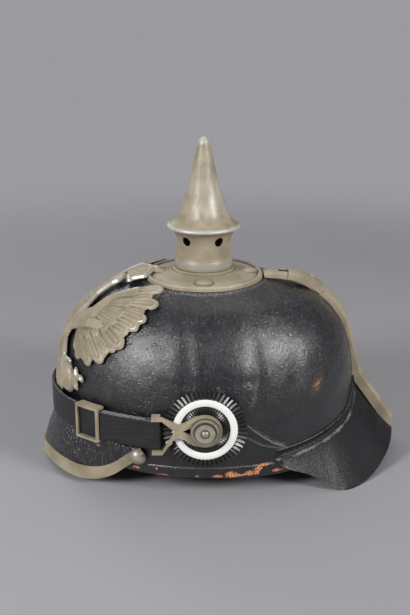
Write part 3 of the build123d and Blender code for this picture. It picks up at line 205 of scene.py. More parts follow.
def oval_point(front, rear, side, angle):
    """A point of a level, at an angle from the wearer's left round by the rear."""
    return side * cos(angle), (rear - front) / 2 + (front + rear) / 2 * sin(angle)


def wall_reach(start_y, dx, dy, height, grow=0.0):
    """Distance from a point on the midline to the skull's outside, along a level direction."""
    front, rear, side = skull_oval(height, grow)
    half, shift = (front + rear) / 2, start_y - (rear - front) / 2
    square = (dx / side) ** 2 + (dy / half) ** 2
    middle = shift * dy / half ** 2
    return (sqrt(middle ** 2 - square * ((shift / half) ** 2 - 1)) - middle) / square


def near(value, middle, width):
    """One at a middle value, fading to nothing over a width on both sides."""
    return exp(-((value - middle) / width) ** 2)


def share_of(value, start, end):
    """How far a value is on its way from a start to an end, between zero and one."""
    return min(max((value - start) / (end - start), 0), 1)


# Tools for meshes

def clear_selection():
    """Nothing is selected or active in object mode."""
    if bpy.context.object and bpy.context.object.mode != "OBJECT":
        bpy.ops.object.mode_set(mode="OBJECT")
    bpy.ops.object.select_all(action="DESELECT")


def pick(piece):
    """One piece is selected and active."""
    clear_selection()
    piece.select_set(True)
    bpy.context.view_layer.objects.active = piece


def edit_all(piece):
    """The piece is open in edit mode with everything selected."""
    pick(piece)
    bpy.ops.object.mode_set(mode="EDIT")
    bpy.ops.mesh.select_all(action="SELECT")


def turn_faces(piece, flip=False):
    """Make a piece's faces point one way, or flip them."""
    edit_all(piece)
    if flip:
        bpy.ops.mesh.flip_normals()
    else:
        bpy.ops.mesh.normals_make_consistent(inside=False)
    bpy.ops.object.mode_set(mode="OBJECT")


def apply_modifier(piece, kind, **values):
    """Add one modifier to a piece and apply it."""
    pick(piece)
    modifier = piece.modifiers.new(kind.title(), kind)
    for name, value in values.items():
        setattr(modifier, name, value)
    bpy.ops.object.modifier_apply(modifier=modifier.name)


def smooth(piece, angle=40.0):
    """Shade a piece smooth up to an angle between faces."""
    pick(piece)
    bpy.ops.object.shade_smooth_by_angle(angle=radians(angle))


def shaped_grid(name, columns, rows, place, caps=False):
    """A grid primitive whose points are moved to place(share across, share along), in millimetres."""
    clear_selection()
    bpy.ops.mesh.primitive_grid_add(x_subdivisions=columns, y_subdivisions=rows, size=1.0)
    piece = bpy.context.object
    piece.name = name
    piece.data.name = name
    for vertex in piece.data.vertices:
        x, y, z = place(vertex.co.x + 0.5, vertex.co.y + 0.5)
        vertex.co = (x * MM, y * MM, z * MM)
    edit_all(piece)
    bpy.ops.mesh.remove_doubles(threshold=SEAM_MERGE)
    if caps:
        bpy.ops.mesh.select_all(action="DESELECT")
        bpy.ops.mesh.select_non_manifold(extend=False, use_boundary=True, use_wire=False,
                                         use_multi_face=False, use_non_contiguous=False, use_verts=False)
        bpy.ops.mesh.fill_holes(sides=0)
        turn_faces(piece)
    bpy.ops.object.mode_set(mode="OBJECT")
    return piece


def write_marks(piece, name, value):
    """Store value(x, y, z in millimetres) at each point of a piece, for its material."""
    marks = piece.data.attributes.new(name, "FLOAT", "POINT")
    values = [float(value(*(v.co / MM))) for v in piece.data.vertices]
    marks.data.foreach_set("value", [min(max(mark, 0.0), 1.0) for mark in values])


def place_piece(piece, body, slot, materials, *nodes):
    """A finished piece rides on its body and stands for CAD nodes."""
    for material in materials:
        piece.data.materials.append(material)
    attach(piece, body)
    if nodes:
        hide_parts(*nodes)


# Tools for materials

class Finish:
    """One material's nodes. Sizes and widths are given in millimetres."""

    def __init__(self, name):
        self.material = bpy.data.materials.new(name)
        self.material.use_nodes = True
        self.nodes = self.material.node_tree.nodes
        self.links = self.material.node_tree.links
        self.shader = self.nodes["Principled BSDF"]
        self.place = self.add("TexCoord", "Object")

    def join(self, value, socket):
        """Give a socket a value, or link it where the value is another node's output."""
        if isinstance(value, bpy.types.NodeSocket):
            self.links.new(value, socket)
        elif value is not None:
            socket.default_value = value

    def set(self, **values):
        """Give the shader's own sockets values or links, with _ for a space in a name."""
        for name, value in values.items():
            self.join(value, self.shader.inputs[name.replace("_", " ")])

    def add(self, kind, output, inputs=None, **settings):
        """One output of a new node, with its settings and inputs filled in."""
        node = self.nodes.new("ShaderNode" + kind)
        for name, value in settings.items():
            setattr(node, name, value)
        for name, value in (inputs or {}).items():
            self.join(value, node.inputs[name])
        return node.outputs[output]

    def maths(self, kind, a, b=None, clamp=False):
        return self.add("Math", 0, {0: a, 1: b}, operation=kind, use_clamp=clamp)

    def times(self, a, b):
        return self.maths("MULTIPLY", a, b)

    def plus(self, a, b, clamp=False):
        return self.maths("ADD", a, b, clamp)

    def vector(self, kind, a, b=None, c=None, output=0):
        return self.add("VectorMath", output, {0: a, 1: b, 2: c}, operation=kind)

    def stretch(self, scale, turn=(0, 0, 0)):
        """The place on the piece, scaled by axis and turned."""
        return self.add("Mapping", 0, {"Vector": self.place, "Rotation": turn, "Scale": scale})

    def grain(self, size, detail=3.0, roughness=0.55, source=None, output="Fac"):
        """Cloudy noise with spots of a size."""
        return self.add("TexNoise", output, {"Vector": source or self.place, "Scale": 1 / (size * MM),
                                             "Detail": detail, "Roughness": roughness})

    def cracks(self, size, source):
        """Distance from the edges of cells of a size."""
        return self.add("TexVoronoi", "Distance", {"Vector": source, "Scale": 1 / (size * MM)},
                        feature="DISTANCE_TO_EDGE")

    def warped(self, size, amount, source=None):
        """The place on the piece, pushed up to an amount by noise of a size."""
        source = source or self.place
        push = self.grain(size, 2.0, 0.5, source, "Color")
        return self.vector("MULTIPLY_ADD", push, (amount * MM,) * 3, source)

    def ramp(self, value, low, high, first=0.0, last=1.0):
        """A value mapped smoothly from low..high to first..last."""
        ends = {"Value": value, "From Min": low, "From Max": high, "To Min": first, "To Max": last}
        return self.add("MapRange", "Result", ends, interpolation_type="SMOOTHSTEP")

    def mix(self, share, a, b):
        """Two colours mixed by a share."""
        a, b = ((*colour, 1.0) if isinstance(colour, tuple) else colour for colour in (a, b))
        return self.add("Mix", "Result", {"Factor": share, "A": a, "B": b}, data_type="RGBA")

    def mark(self, name):
        """The mark of a name that a piece's points carry."""
        return self.add("Attribute", "Fac", attribute_name=name)

    def height(self):
        """The place's height, in metres."""
        return self.add("SeparateXYZ", "Z", {0: self.place})

    def reach(self, direction, start, source):
        """Distance along a direction from a place in millimetres, in metres."""
        along = self.vector("DOT_PRODUCT", source, direction, output="Value")
        return self.maths("SUBTRACT", along, Vector(direction).dot(start) * MM)

    def side_line(self, points, width):
        """Closeness to a line drawn on both sides, through points of length and height."""
        closest, source = 0.0, self.warped(5.0, 1.0)
        for (y0, z0), (y1, z1) in zip(points, points[1:]):
            length = hypot(y1 - y0, z1 - z0)
            run = Vector((0, (y1 - y0) / length, (z1 - z0) / length))
            start = (0.5, y0 + 0.5, z0 + 0.5)
            along = self.reach(run, start, source)
            off = self.maths("ABSOLUTE", self.reach((0, -run.z, run.y), start, source))
            ends = self.times(self.ramp(along, -width * MM, 0.0),
                              self.ramp(along, length * MM, (length + width) * MM, 1.0, 0.0))
            here = self.times(ends, self.ramp(off, 0.0, width * MM, 1.0, 0.0))
            closest = self.maths("MAXIMUM", closest, here)
        return closest

    def rings(self, table):
        """Closeness to rings: centre, the directions they lie in, radius and width."""
        closest = 0.0
        for centre, flat, radius, width in table:
            away = self.vector("SUBTRACT", self.place, [c * MM for c in centre])
            size = self.vector("LENGTH", self.vector("MULTIPLY", away, flat), output="Value")
            off = self.maths("ABSOLUTE", self.maths("SUBTRACT", size, radius * MM))
            closest = self.maths("MAXIMUM", closest, self.ramp(off, width * 0.3 * MM, width * MM, 1.0, 0.0))
        return closest

    def bump(self, height, distance, strength=1.0, under=None):
        """A bump of a depth, over another one."""
        return self.add("Bump", 0, {"Strength": strength, "Distance": distance * MM, "Height": height,
                                    "Normal": under})

    def wear(self, mark, size, low=0.35, high=0.65):
        """A mark broken up into worn spots of a size."""
        spots = self.grain(size, 4.0, 0.7)
        together = self.plus(self.mark(mark), self.maths("SUBTRACT", spots, 0.5))
        patches = self.ramp(together, low, high)
        return self.times(patches, self.ramp(self.mark(mark), 0.02, 0.15))


# Colours of dirt, wear, painted shade and painted glints, which no setting changes

DUST_SPECK, CRACK_DUST_AND_GLINT = (0.128, 0.124, 0.142), (0.2, 0.2, 0.215)
BROWN_HALO, BROWN_SCUFF, PALE_SCUFF = (0.034, 0.022, 0.015), (0.14, 0.075, 0.04), (0.40, 0.27, 0.16)
TORN_EDGE, RAW_DARK, RAW_PALE = (0.035, 0.012, 0.006), (0.33, 0.09, 0.03), (0.72, 0.33, 0.16)
STRAP_BLACK, STRAP_FADED = (0.007, 0.007, 0.0085), (0.021, 0.0213, 0.025)
STRAP_DUST, STRAP_EDGE = (0.09, 0.09, 0.10), (0.36, 0.355, 0.35)
LINER_DARK, LINER_PORES = (0.17, 0.088, 0.042), (0.11, 0.06, 0.03)
PAINT_SPOTS, PAINT_PALE, PAINT_SHADE = (0.15, 0.128, 0.088), (0.40, 0.35, 0.25), (0.085, 0.07, 0.05)
CONE_SPOTS, ENAMEL_SPOTS = (0.14, 0.12, 0.085), (0.2, 0.19, 0.17)
TARNISH_DARK, TARNISH_PALE = (0.30, 0.265, 0.205), (0.40, 0.365, 0.30)
TARNISH_SPOTS, GROOVE_SHADE = (0.14, 0.11, 0.075), (0.04, 0.034, 0.024)
LINEN_DARK, LINEN_PALE = (0.30, 0.235, 0.145), (0.58, 0.49, 0.35)
THREAD_BLACK, THREAD_DUST = (0.016, 0.015, 0.014), (0.11, 0.105, 0.095)
FLOOR_DARK, FLOOR_PALE = (0.29, 0.288, 0.305), (0.305, 0.303, 0.32)


def waxed_leather(name, scale=(1.0, 1.0, 1.0), crack_size=1.9, crack_depth=0.07, shine=0.3, grit=0.11,
                  wax=0.55, lines=(), sheen=0.55, crack_dust_and_glint=0.0):
    """Black waxed leather: grained and crazed, with grey scuffs, brown and bare patches where marked."""
    f, palette = Finish(name), colours()
    cells = f.cracks(crack_size, f.warped(4.0, 3.0, f.stretch(scale)))
    pores = f.grain(0.75, 4.0, 0.75, f.stretch(scale))
    clouds = f.grain(30.0, 3.0)
    dust = f.grain(0.9, 4.0, 0.7)
    colour = f.mix(f.ramp(clouds, 0.35, 0.7), tuple(palette.leather), tuple(palette.leather_faded))
    specks = f.times(f.ramp(f.grain(1.9, 4.0, 0.8, f.warped(6.0, 4.0)), 0.52, 0.66),
                     f.ramp(f.height(), 0.055, 0.1, 0.03, 0.66))
    specks = f.times(specks, f.ramp(f.grain(18.0, 3.0), 0.35, 0.62, 0.35, 1.0))
    colour = f.mix(specks, colour, DUST_SPECK)
    # Pale lines in the cracks: dust, and painted glints along the crazing.
    crack_dust_and_glints = f.times(f.ramp(cells, 0.0, 0.12, 1.0, 0.0), f.ramp(pores, 0.45, 0.6, 0.0, crack_dust_and_glint))
    colour = f.mix(crack_dust_and_glints, colour, CRACK_DUST_AND_GLINT)
    worn = f.wear("worn", 1.4)
    for points, width, strength in lines:
        drawn = f.times(f.side_line(points, width), f.ramp(dust, 0.38, 0.55, strength * 0.45, strength))
        worn = f.maths("MAXIMUM", worn, drawn)
    colour = f.mix(worn, colour, tuple(palette.leather_worn))
    scuff = f.plus(f.grain(1.7, 4.0, 0.8, f.stretch((1.0, 1.0, 0.5))), f.mark("brown"))
    halo = f.times(f.ramp(scuff, 0.62, 0.9), f.ramp(f.mark("brown"), 0.05, 0.4, 0.0, 0.75))
    colour = f.mix(halo, colour, BROWN_HALO)
    scuff = f.times(f.ramp(scuff, 1.02, 1.12), f.ramp(f.mark("brown"), 0.05, 0.3))
    colour = f.mix(scuff, colour, f.mix(f.ramp(dust, 0.4, 0.65), BROWN_SCUFF, PALE_SCUFF))
    bare = f.wear("bare", 1.5, 0.53, 0.58)
    edge = f.wear("bare", 1.5, 0.44, 0.5)
    colour = f.mix(edge, colour, TORN_EDGE)
    raw = f.mix(f.ramp(f.grain(1.6, 4.0, 0.8), 0.4, 0.62), RAW_DARK, RAW_PALE)
    colour = f.mix(bare, colour, raw)
    gloss = f.ramp(f.grain(3.0, 4.0, 0.65), 0.3, 0.72, shine - 0.05, shine + 0.09)
    gloss = f.plus(gloss, f.times(worn, 0.2))
    gloss = f.plus(gloss, f.times(bare, 0.4), clamp=True)
    swell = f.bump(f.grain(9.0, 2.0), 0.2, 0.3)
    pebbled = f.bump(f.grain(2.2, 3.0, 0.75, f.stretch(scale)), grit * 2.8, 0.8, swell)
    crease = f.bump(f.ramp(cells, 0.0, 0.22), crack_depth, 0.7, pebbled)
    worn_through = f.bump(edge, -0.25, 0.6, crease)
    coat = f.times(f.ramp(bare, 0.0, 1.0, 1.0, 0.0), wax)
    grained = f.bump(pores, grit, 0.75, worn_through)
    f.set(Base_Color=colour, Roughness=gloss, Normal=grained, Specular_IOR_Level=sheen,
          Coat_Weight=coat, Coat_Roughness=0.2, Coat_Normal=grained)
    return f.material


def strap_leather(name):
    """Smooth black strap leather with pale cut edges and faint lengthwise marks."""
    f = Finish(name)
    dust = f.grain(0.7, 4.0, 0.7)
    runs = f.grain(2.0, 4.0, 0.65, f.stretch((0.12, 0.12, 1.8)))
    colour = f.mix(f.ramp(runs, 0.35, 0.75), STRAP_BLACK, STRAP_FADED)
    colour = f.mix(f.times(f.ramp(dust, 0.62, 0.8), 0.3), colour, STRAP_DUST)
    colour = f.mix(f.wear("worn", 1.6, 0.45, 0.8), colour, STRAP_EDGE)
    f.set(Base_Color=colour, Roughness=f.ramp(runs, 0.3, 0.7, 0.36, 0.54), Specular_IOR_Level=0.5,
          Normal=f.bump(dust, 0.04, 0.6, f.bump(runs, 0.12, 0.5)))
    return f.material


def liner_leather(name):
    """Plain brown leather, darkened where it is handled."""
    f = Finish(name)
    clouds, fine = f.grain(22.0, 4.0), f.grain(0.8, 3.0, 0.6)
    colour = f.mix(f.ramp(clouds, 0.3, 0.7), LINER_DARK, tuple(colours().liner))
    colour = f.mix(f.ramp(fine, 0.55, 0.8, 0.0, 0.5), colour, LINER_PORES)
    pores = f.bump(f.ramp(f.cracks(1.1, f.warped(1.5, 1.0)), 0.0, 0.25), 0.08, 0.6)
    f.set(Base_Color=colour, Roughness=f.ramp(clouds, 0.3, 0.7, 0.5, 0.68),
          Normal=f.bump(fine, 0.04, 0.6, pores))
    return f.material


def field_paint(name, bare=0.2, bands=(), shaded_grooves=()):
    """Field grey paint over steel, with painted shade in hollows and grooves, fine scratches and bands
    rubbed bare.
    """
    f, palette = Finish(name), colours()
    clouds, fine = f.grain(17.0, 4.0, 0.6), f.grain(1.3, 4.0, 0.65)
    scratches = f.grain(1.6, 3.0, 0.6, f.stretch((1.0, 1.0, 0.12), (0.3, 0.5, 0.0)))
    colour = f.mix(f.ramp(clouds, 0.3, 0.72), tuple(palette.paint_dark), tuple(palette.paint))
    colour = f.mix(f.ramp(fine, 0.52, 0.8, 0.0, 0.45), colour, PAINT_SPOTS)
    colour = f.mix(f.ramp(f.grain(3.4, 4.0, 0.7), 0.62, 0.78, 0.0, 0.5), colour, PAINT_PALE)
    rubbed = f.ramp(f.plus(scratches, f.times(clouds, 0.5)), 1.02 - bare, 1.24 - bare, 0.0, 0.7)
    for low, high, amount in bands:
        height = f.height()
        band = f.times(f.ramp(height, low * MM, (low + BAND_FADE) * MM),
                       f.ramp(height, (high - BAND_FADE) * MM, high * MM, 1.0, 0.0))
        band = f.times(band, f.ramp(fine, 0.25, 0.6, amount * 0.5, amount))
        rubbed = f.plus(rubbed, band, clamp=True)
    rubbed = f.plus(rubbed, f.wear("rubbed", 1.5, 0.4, 0.8), clamp=True)
    # Painted shade: in the eagle's hollows, and in rings round the spike base's studs and grooves.
    painted_shade = f.maths("MAXIMUM", f.mark("painted_shade"), f.times(f.rings(shaded_grooves), 0.7))
    colour = f.mix(f.times(painted_shade, f.ramp(fine, 0.3, 0.6, 0.5, 1.0)), colour, PAINT_SHADE)
    colour = f.mix(rubbed, colour, tuple(palette.steel))
    f.set(Base_Color=colour, Metallic=f.times(rubbed, 0.6),
          Roughness=f.ramp(f.plus(clouds, f.times(rubbed, -0.35)), 0.1, 0.75, 0.34, 0.6),
          Normal=f.bump(fine, 0.05, 0.55, f.bump(f.grain(5.0, 2.0), 0.16, 0.4)), Specular_IOR_Level=0.45)
    return f.material


def cone_paint(name):
    """The cone's paint, rubbed through to steel in long streaks, most at its foot and tip."""
    f, palette = Finish(name), colours()
    rings = f.grain(1.4, 3.0, 0.6, f.stretch((0.25, 0.25, 2.4)))
    streaks = f.grain(7.0, 4.0, 0.6, f.stretch((1.0, 1.0, 0.13)))
    clouds, fine = f.grain(14.0, 3.0), f.grain(1.2, 4.0, 0.65)
    height = f.height()
    colour = f.mix(f.ramp(clouds, 0.3, 0.7), tuple(palette.paint_dark), tuple(palette.paint))
    colour = f.mix(f.ramp(fine, 0.55, 0.8, 0.0, 0.4), colour, CONE_SPOTS)
    foot = f.ramp(height, 0.1835, 0.1848, 1.0, 0.0)
    middle = f.times(f.ramp(height, 0.186, 0.196), f.ramp(height, 0.21, 0.247, 0.24, 0.04))
    tip = f.ramp(height, 0.240, 0.2475, 0.0, 0.5)
    push = f.plus(f.plus(middle, tip), f.times(foot, 0.6))
    rubbed = f.ramp(f.plus(f.plus(streaks, f.times(rings, 0.22)), push), 0.7, 1.18)
    colour = f.mix(rubbed, colour, tuple(palette.steel))
    gloss = f.ramp(rings, 0.3, 0.7, 0.44, 0.55)
    f.set(Base_Color=colour, Metallic=f.times(rubbed, 0.35), Roughness=gloss,
          Normal=f.bump(rings, 0.06, 0.5, f.bump(fine, 0.04, 0.5)), Specular_IOR_Level=0.5)
    return f.material


def tarnished_steel(name, shaded_grooves=()):
    """Bare steel gone dull and brown, with painted shade in its grooves."""
    f = Finish(name)
    clouds, fine = f.grain(6.0, 3.0, 0.6), f.grain(0.8, 3.0, 0.6)
    colour = f.mix(f.ramp(clouds, 0.3, 0.7), TARNISH_DARK, TARNISH_PALE)
    colour = f.mix(f.ramp(fine, 0.56, 0.8, 0.0, 0.5), colour, TARNISH_SPOTS)
    # Painted shade in rings along the grooves of the post heads.
    colour = f.mix(f.times(f.rings(shaded_grooves), 0.85), colour, GROOVE_SHADE)
    f.set(Base_Color=colour, Metallic=0.45, Roughness=f.ramp(clouds, 0.3, 0.7, 0.44, 0.33),
          Normal=f.bump(fine, 0.03, 0.5))
    return f.material


def enamel(name, colour, worn, amount=0.3):
    """Enamel paint on the cockade's tin, chipped to a second colour where marked."""
    f = Finish(name)
    clouds, fine = f.grain(6.0, 4.0), f.grain(0.7, 3.0, 0.65)
    tone = f.mix(f.ramp(clouds, 0.3, 0.75, 0.0, amount), colour, tuple(c * 0.72 for c in colour))
    tone = f.mix(f.ramp(fine, 0.62, 0.8, 0.0, amount), tone, ENAMEL_SPOTS)
    chipped = f.wear("rubbed", 0.9, 0.35, 0.75)
    f.set(Base_Color=f.mix(chipped, tone, worn), Metallic=f.times(chipped, 0.6),
          Roughness=f.ramp(fine, 0.3, 0.7, 0.24, 0.38), Normal=f.bump(fine, 0.03, 0.5))
    return f.material


def fibres(name, size, detail, stretch, span, pale, roughness, depth):
    """Linen or thread: fine fibres in two colours."""
    f = Finish(name)
    strands = f.grain(size, detail, 0.7, f.stretch(stretch) if stretch else None)
    f.set(Base_Color=f.mix(f.ramp(strands, *span), *pale), Roughness=roughness,
          Normal=f.bump(strands, depth, 0.8))
    return f.material


def linen_cord(name):
    """Twisted linen."""
    return fibres(name, 0.35, 4.0, (1.0, 1.0, 0.4), (0.3, 0.7), (LINEN_DARK, LINEN_PALE), 0.85, 0.12)


def sewing_thread(name):
    """Waxed black thread, dusty on top."""
    return fibres(name, 0.3, 3.0, None, (0.4, 0.75), (THREAD_BLACK, THREAD_DUST), 0.6, 0.08)


# The sizes and colours that a user would change

def tint(name, description, colour):
    """A colour among the settings."""
    return FloatVectorProperty(name=name, description=description, size=3, subtype="COLOR",
                               default=colour, min=0, max=1)


def span(name, description, default, low, high):
    """A length among the settings."""
    return FloatProperty(name=name, description=description, default=default, unit="LENGTH",
                         min=low, max=high)


class HelmetColours(bpy.types.PropertyGroup):
    leather: tint("Leather", "Waxed black of skull and flaps", (0.0048, 0.0045, 0.0058))
    leather_faded: tint("Faded leather", "Where the wax has gone", (0.0120, 0.0116, 0.0145))
    leather_worn: tint("Worn leather", "Dust and wear on ridges", (0.17, 0.168, 0.165))
    liner: tint("Liner", "Brown leather of the sweatband", (0.30, 0.18, 0.095))
    paint: tint("Field paint", "Grey-brown paint on the metal", (0.352, 0.298, 0.208))
    paint_dark: tint("Grimy paint", "The paint in dirty places", (0.240, 0.200, 0.136))
    steel: tint("Bare steel", "Where the paint is rubbed through", (0.50, 0.485, 0.44))


class HelmetSizes(bpy.types.PropertyGroup):
    dent_depth: span("Dents", "Depth of the skull's soft dents", 0.0011, 0, 0.003)
    leather_wall: span("Skull wall", "Thickness of the skull's leather", 0.003, 0.001, 0.005)
    feather_relief: span("Feathers", "Height of the eagle's feathers", 0.0014, 0, 0.003)
    stitch_pitch: span("Stitch pitch", "Distance from stitch to stitch", 0.0042, 0.002, 0.01)
    pleats: IntProperty(name="Pleats", description="Pleats round each cockade", default=52, min=24, max=90)


def colours():
    return bpy.context.scene.helmet_colours


def sizes():
    return bpy.context.scene.helmet_sizes


# Stage

class HELMET_OT_stage(bpy.types.Operator):
    """Add the camera, the lamps, the world and a pale floor"""
    bl_idname = "helmet.stage"
    bl_label = "Stage"

    def execute(self, context):
        scene = context.scene
        scene.view_settings.view_transform = "Standard"
        clear_selection()
        bpy.ops.object.camera_add(location=CAMERA_PLACE,
                                  rotation=(radians(90 - CAMERA_LEAN), 0, radians(90)))
        camera = context.object
        camera.name = "camera"
        camera.data.lens = LENS
        camera.data.sensor_width = SENSOR
        camera.data.clip_start = 0.01
        scene.camera = camera
        for name, place, aim, size, power in LAMPS:
            direction = Vector(aim) - Vector(place)
            bpy.ops.object.light_add(type="AREA", location=place,
                                     rotation=direction.to_track_quat("-Z", "Y").to_euler())
            lamp = context.object
            lamp.name = name
            lamp.data.shape = "DISK"
            lamp.data.size = size
            lamp.data.energy = power
        world = bpy.data.worlds.new("studio")
        scene.world = world
        world.use_nodes = True
        nodes, links = world.node_tree.nodes, world.node_tree.links
        light, seen = nodes["Background"], nodes.new("ShaderNodeBackground")
        for background, (colour, strength) in ((light, WORLD_LIGHT), (seen, WORLD_SEEN)):
            background.inputs["Color"].default_value = colour
            background.inputs["Strength"].default_value = strength
        path, mix = nodes.new("ShaderNodeLightPath"), nodes.new("ShaderNodeMixShader")
        links.new(path.outputs["Is Camera Ray"], mix.inputs[0])
        links.new(light.outputs[0], mix.inputs[1])
        links.new(seen.outputs[0], mix.inputs[2])
        links.new(mix.outputs[0], nodes["World Output"].inputs["Surface"])
        clear_selection()
        bpy.ops.mesh.primitive_circle_add(vertices=96, radius=FLOOR_RADIUS, fill_type="NGON")
        floor = context.object
        floor.name = "floor"
        f = Finish("pale_floor")
        away = f.vector("LENGTH", f.place, output="Value")
        f.set(Base_Color=f.mix(f.ramp(f.grain(300.0, 2.0), 0.3, 0.7), FLOOR_DARK, FLOOR_PALE),
              Roughness=0.8, Alpha=f.ramp(away, *FLOOR_FADE, 1.0, 0.0))
        floor.data.materials.append(f.material)
        return {"FINISHED"}


# Skull

def dent(x, y, z):
    """Share of the dent depth at a point of the skull: soft lumps and a few long creases."""
    spot = Vector((x, y, z))
    lumps = 0.5 + 0.5 * noise.noise(spot * 0.035) + 0.35 * noise.noise(spot * 0.09 + Vector((7, 3, 1)))
    lean = y + 0.1 * (z - 90)
    creases = sum(depth * near(lean, middle, width) * near(z, height, length)
                  for depth, middle, width, height, length in UPRIGHT_CREASES)
    depth, height, width, middle, length = LEVEL_CREASE
    creases += depth * near(z, height, width) * near(y, middle, length)
    upright = share_of(z, 44, 66) * share_of(-z, -140, -130)
    spine_side = 1 - near(x, 0, 13) * (1 if y > 40 else 0)
    return (lumps + creases) * upright * spine_side


def seam_rise(x, y, z):
    """How far the rim's binding and the folds behind the cockades stand out of the skull."""
    binding = BINDING_RISE * share_of(-z, -BINDING_TOP, 1.2 - BINDING_TOP)
    rim = share_of(z - height_along(RIM, y), 0, 2.0)
    binding *= 0.35 + 0.65 * sqrt(rim * (2 - rim))
    if z > 66 or not 24 < y < 66:
        return binding
    upper = z - height_along(FOLD_UPPER, y)
    lower = z - height_along(FOLD_LOWER, y)
    fade = share_of(y, 26, 34) * share_of(-y, -64, -56)
    ridges = 0.75 * near(upper, 0, 1.3) - 0.35 * near(upper, 2.4, 1.6) + 0.5 * near(lower, 0, 1.5)
    return binding + fade * (ridges + 0.25 * (upper < 0) * (lower > 0))


class HELMET_OT_skull(bpy.types.Operator):
    """Build the moulded leather skull with its dents, worn edge and scuffs"""
    bl_idname = "helmet.skull"
    bl_label = "Skull"

    def execute(self, context):
        levels, depth = skull_levels(), sizes().dent_depth / MM
        low_share, cap_share, lift_height, middle_height = 0.3, 0.9, 60, 40

        def place(across, along):
            angle = 2 * pi * across
            if along <= low_share:
                front, rear, side = skull_oval(WIDEST)
                x, y = oval_point(front, rear, side, angle)
                low = height_along(RIM, y)
                z = low + (WIDEST - low) * along / low_share
                tuck = RIM_TUCK * max(CREASE - z, 0) / (CREASE - FOOT)
                x, y = oval_point(front - tuck, rear - tuck, side - tuck, angle)
            elif along <= cap_share:
                z, front, rear, side = through(levels, (along - low_share) / (cap_share - low_share))
                x, y = oval_point(front, rear, side, angle)
            else:
                radius = CROWN_RADIUS * (1 - (along - cap_share) / (1 - cap_share))
                x, y, z = radius * cos(angle), radius * sin(angle), cap_height(radius)
            push = dent(x, y, z) * depth - seam_rise(x, y, z)
            rise = z - middle_height if z > lift_height else 0.0
            size = sqrt(x * x + y * y + rise ** 2)
            return x - x / max(size, 1) * push, y - y / max(size, 1) * push, z - rise / size * push

        def bare(x, y, z):
            """Nearness to a patch of bare leather on the binding, a little further on at the right."""
            if z > BARE_TOP:
                return 0.0
            y += BARE_SHIFT if x < 0 else 0
            return max(BARE_STRENGTH * exp(-(((y - along) / half) ** 2 + ((z - high) / rise) ** 2) ** 2)
                       for along, high, half, rise in BARE_PATCHES)

        skull = shaped_grid("skull_leather", 300, 150, place)
        apply_modifier(skull, "SOLIDIFY", thickness=sizes().leather_wall, offset=-1.0, use_even_offset=True)
        write_marks(skull, "worn", lambda x, y, z: (
            0.5 * near(hypot(x, y), 47.5, 3.2) * (z > 139)
            + 0.3 * near(z - height_along(RIM, y), 0.6, 0.9)))
        write_marks(skull, "brown", lambda x, y, z: (
            0.6 * near(y - 0.25 * (z - 79), 83, 6.5) * near(z, 78, 12) * (x > 0)
            + 0.38 * near(y, 108, 4) * near(z, 70, 6) * (x < 0)))
        write_marks(skull, "bare", bare)
        smooth(skull, 50)
        leather = waxed_leather("waxed_black_leather", shine=0.3, grit=0.17, wax=0.9, lines=SCUFFED_LINES,
                                sheen=0.38)
        place_piece(skull, "helmet", "black_leather", [leather], "skull")
        return {"FINISHED"}


# Flaps: the front visor and the neck guard

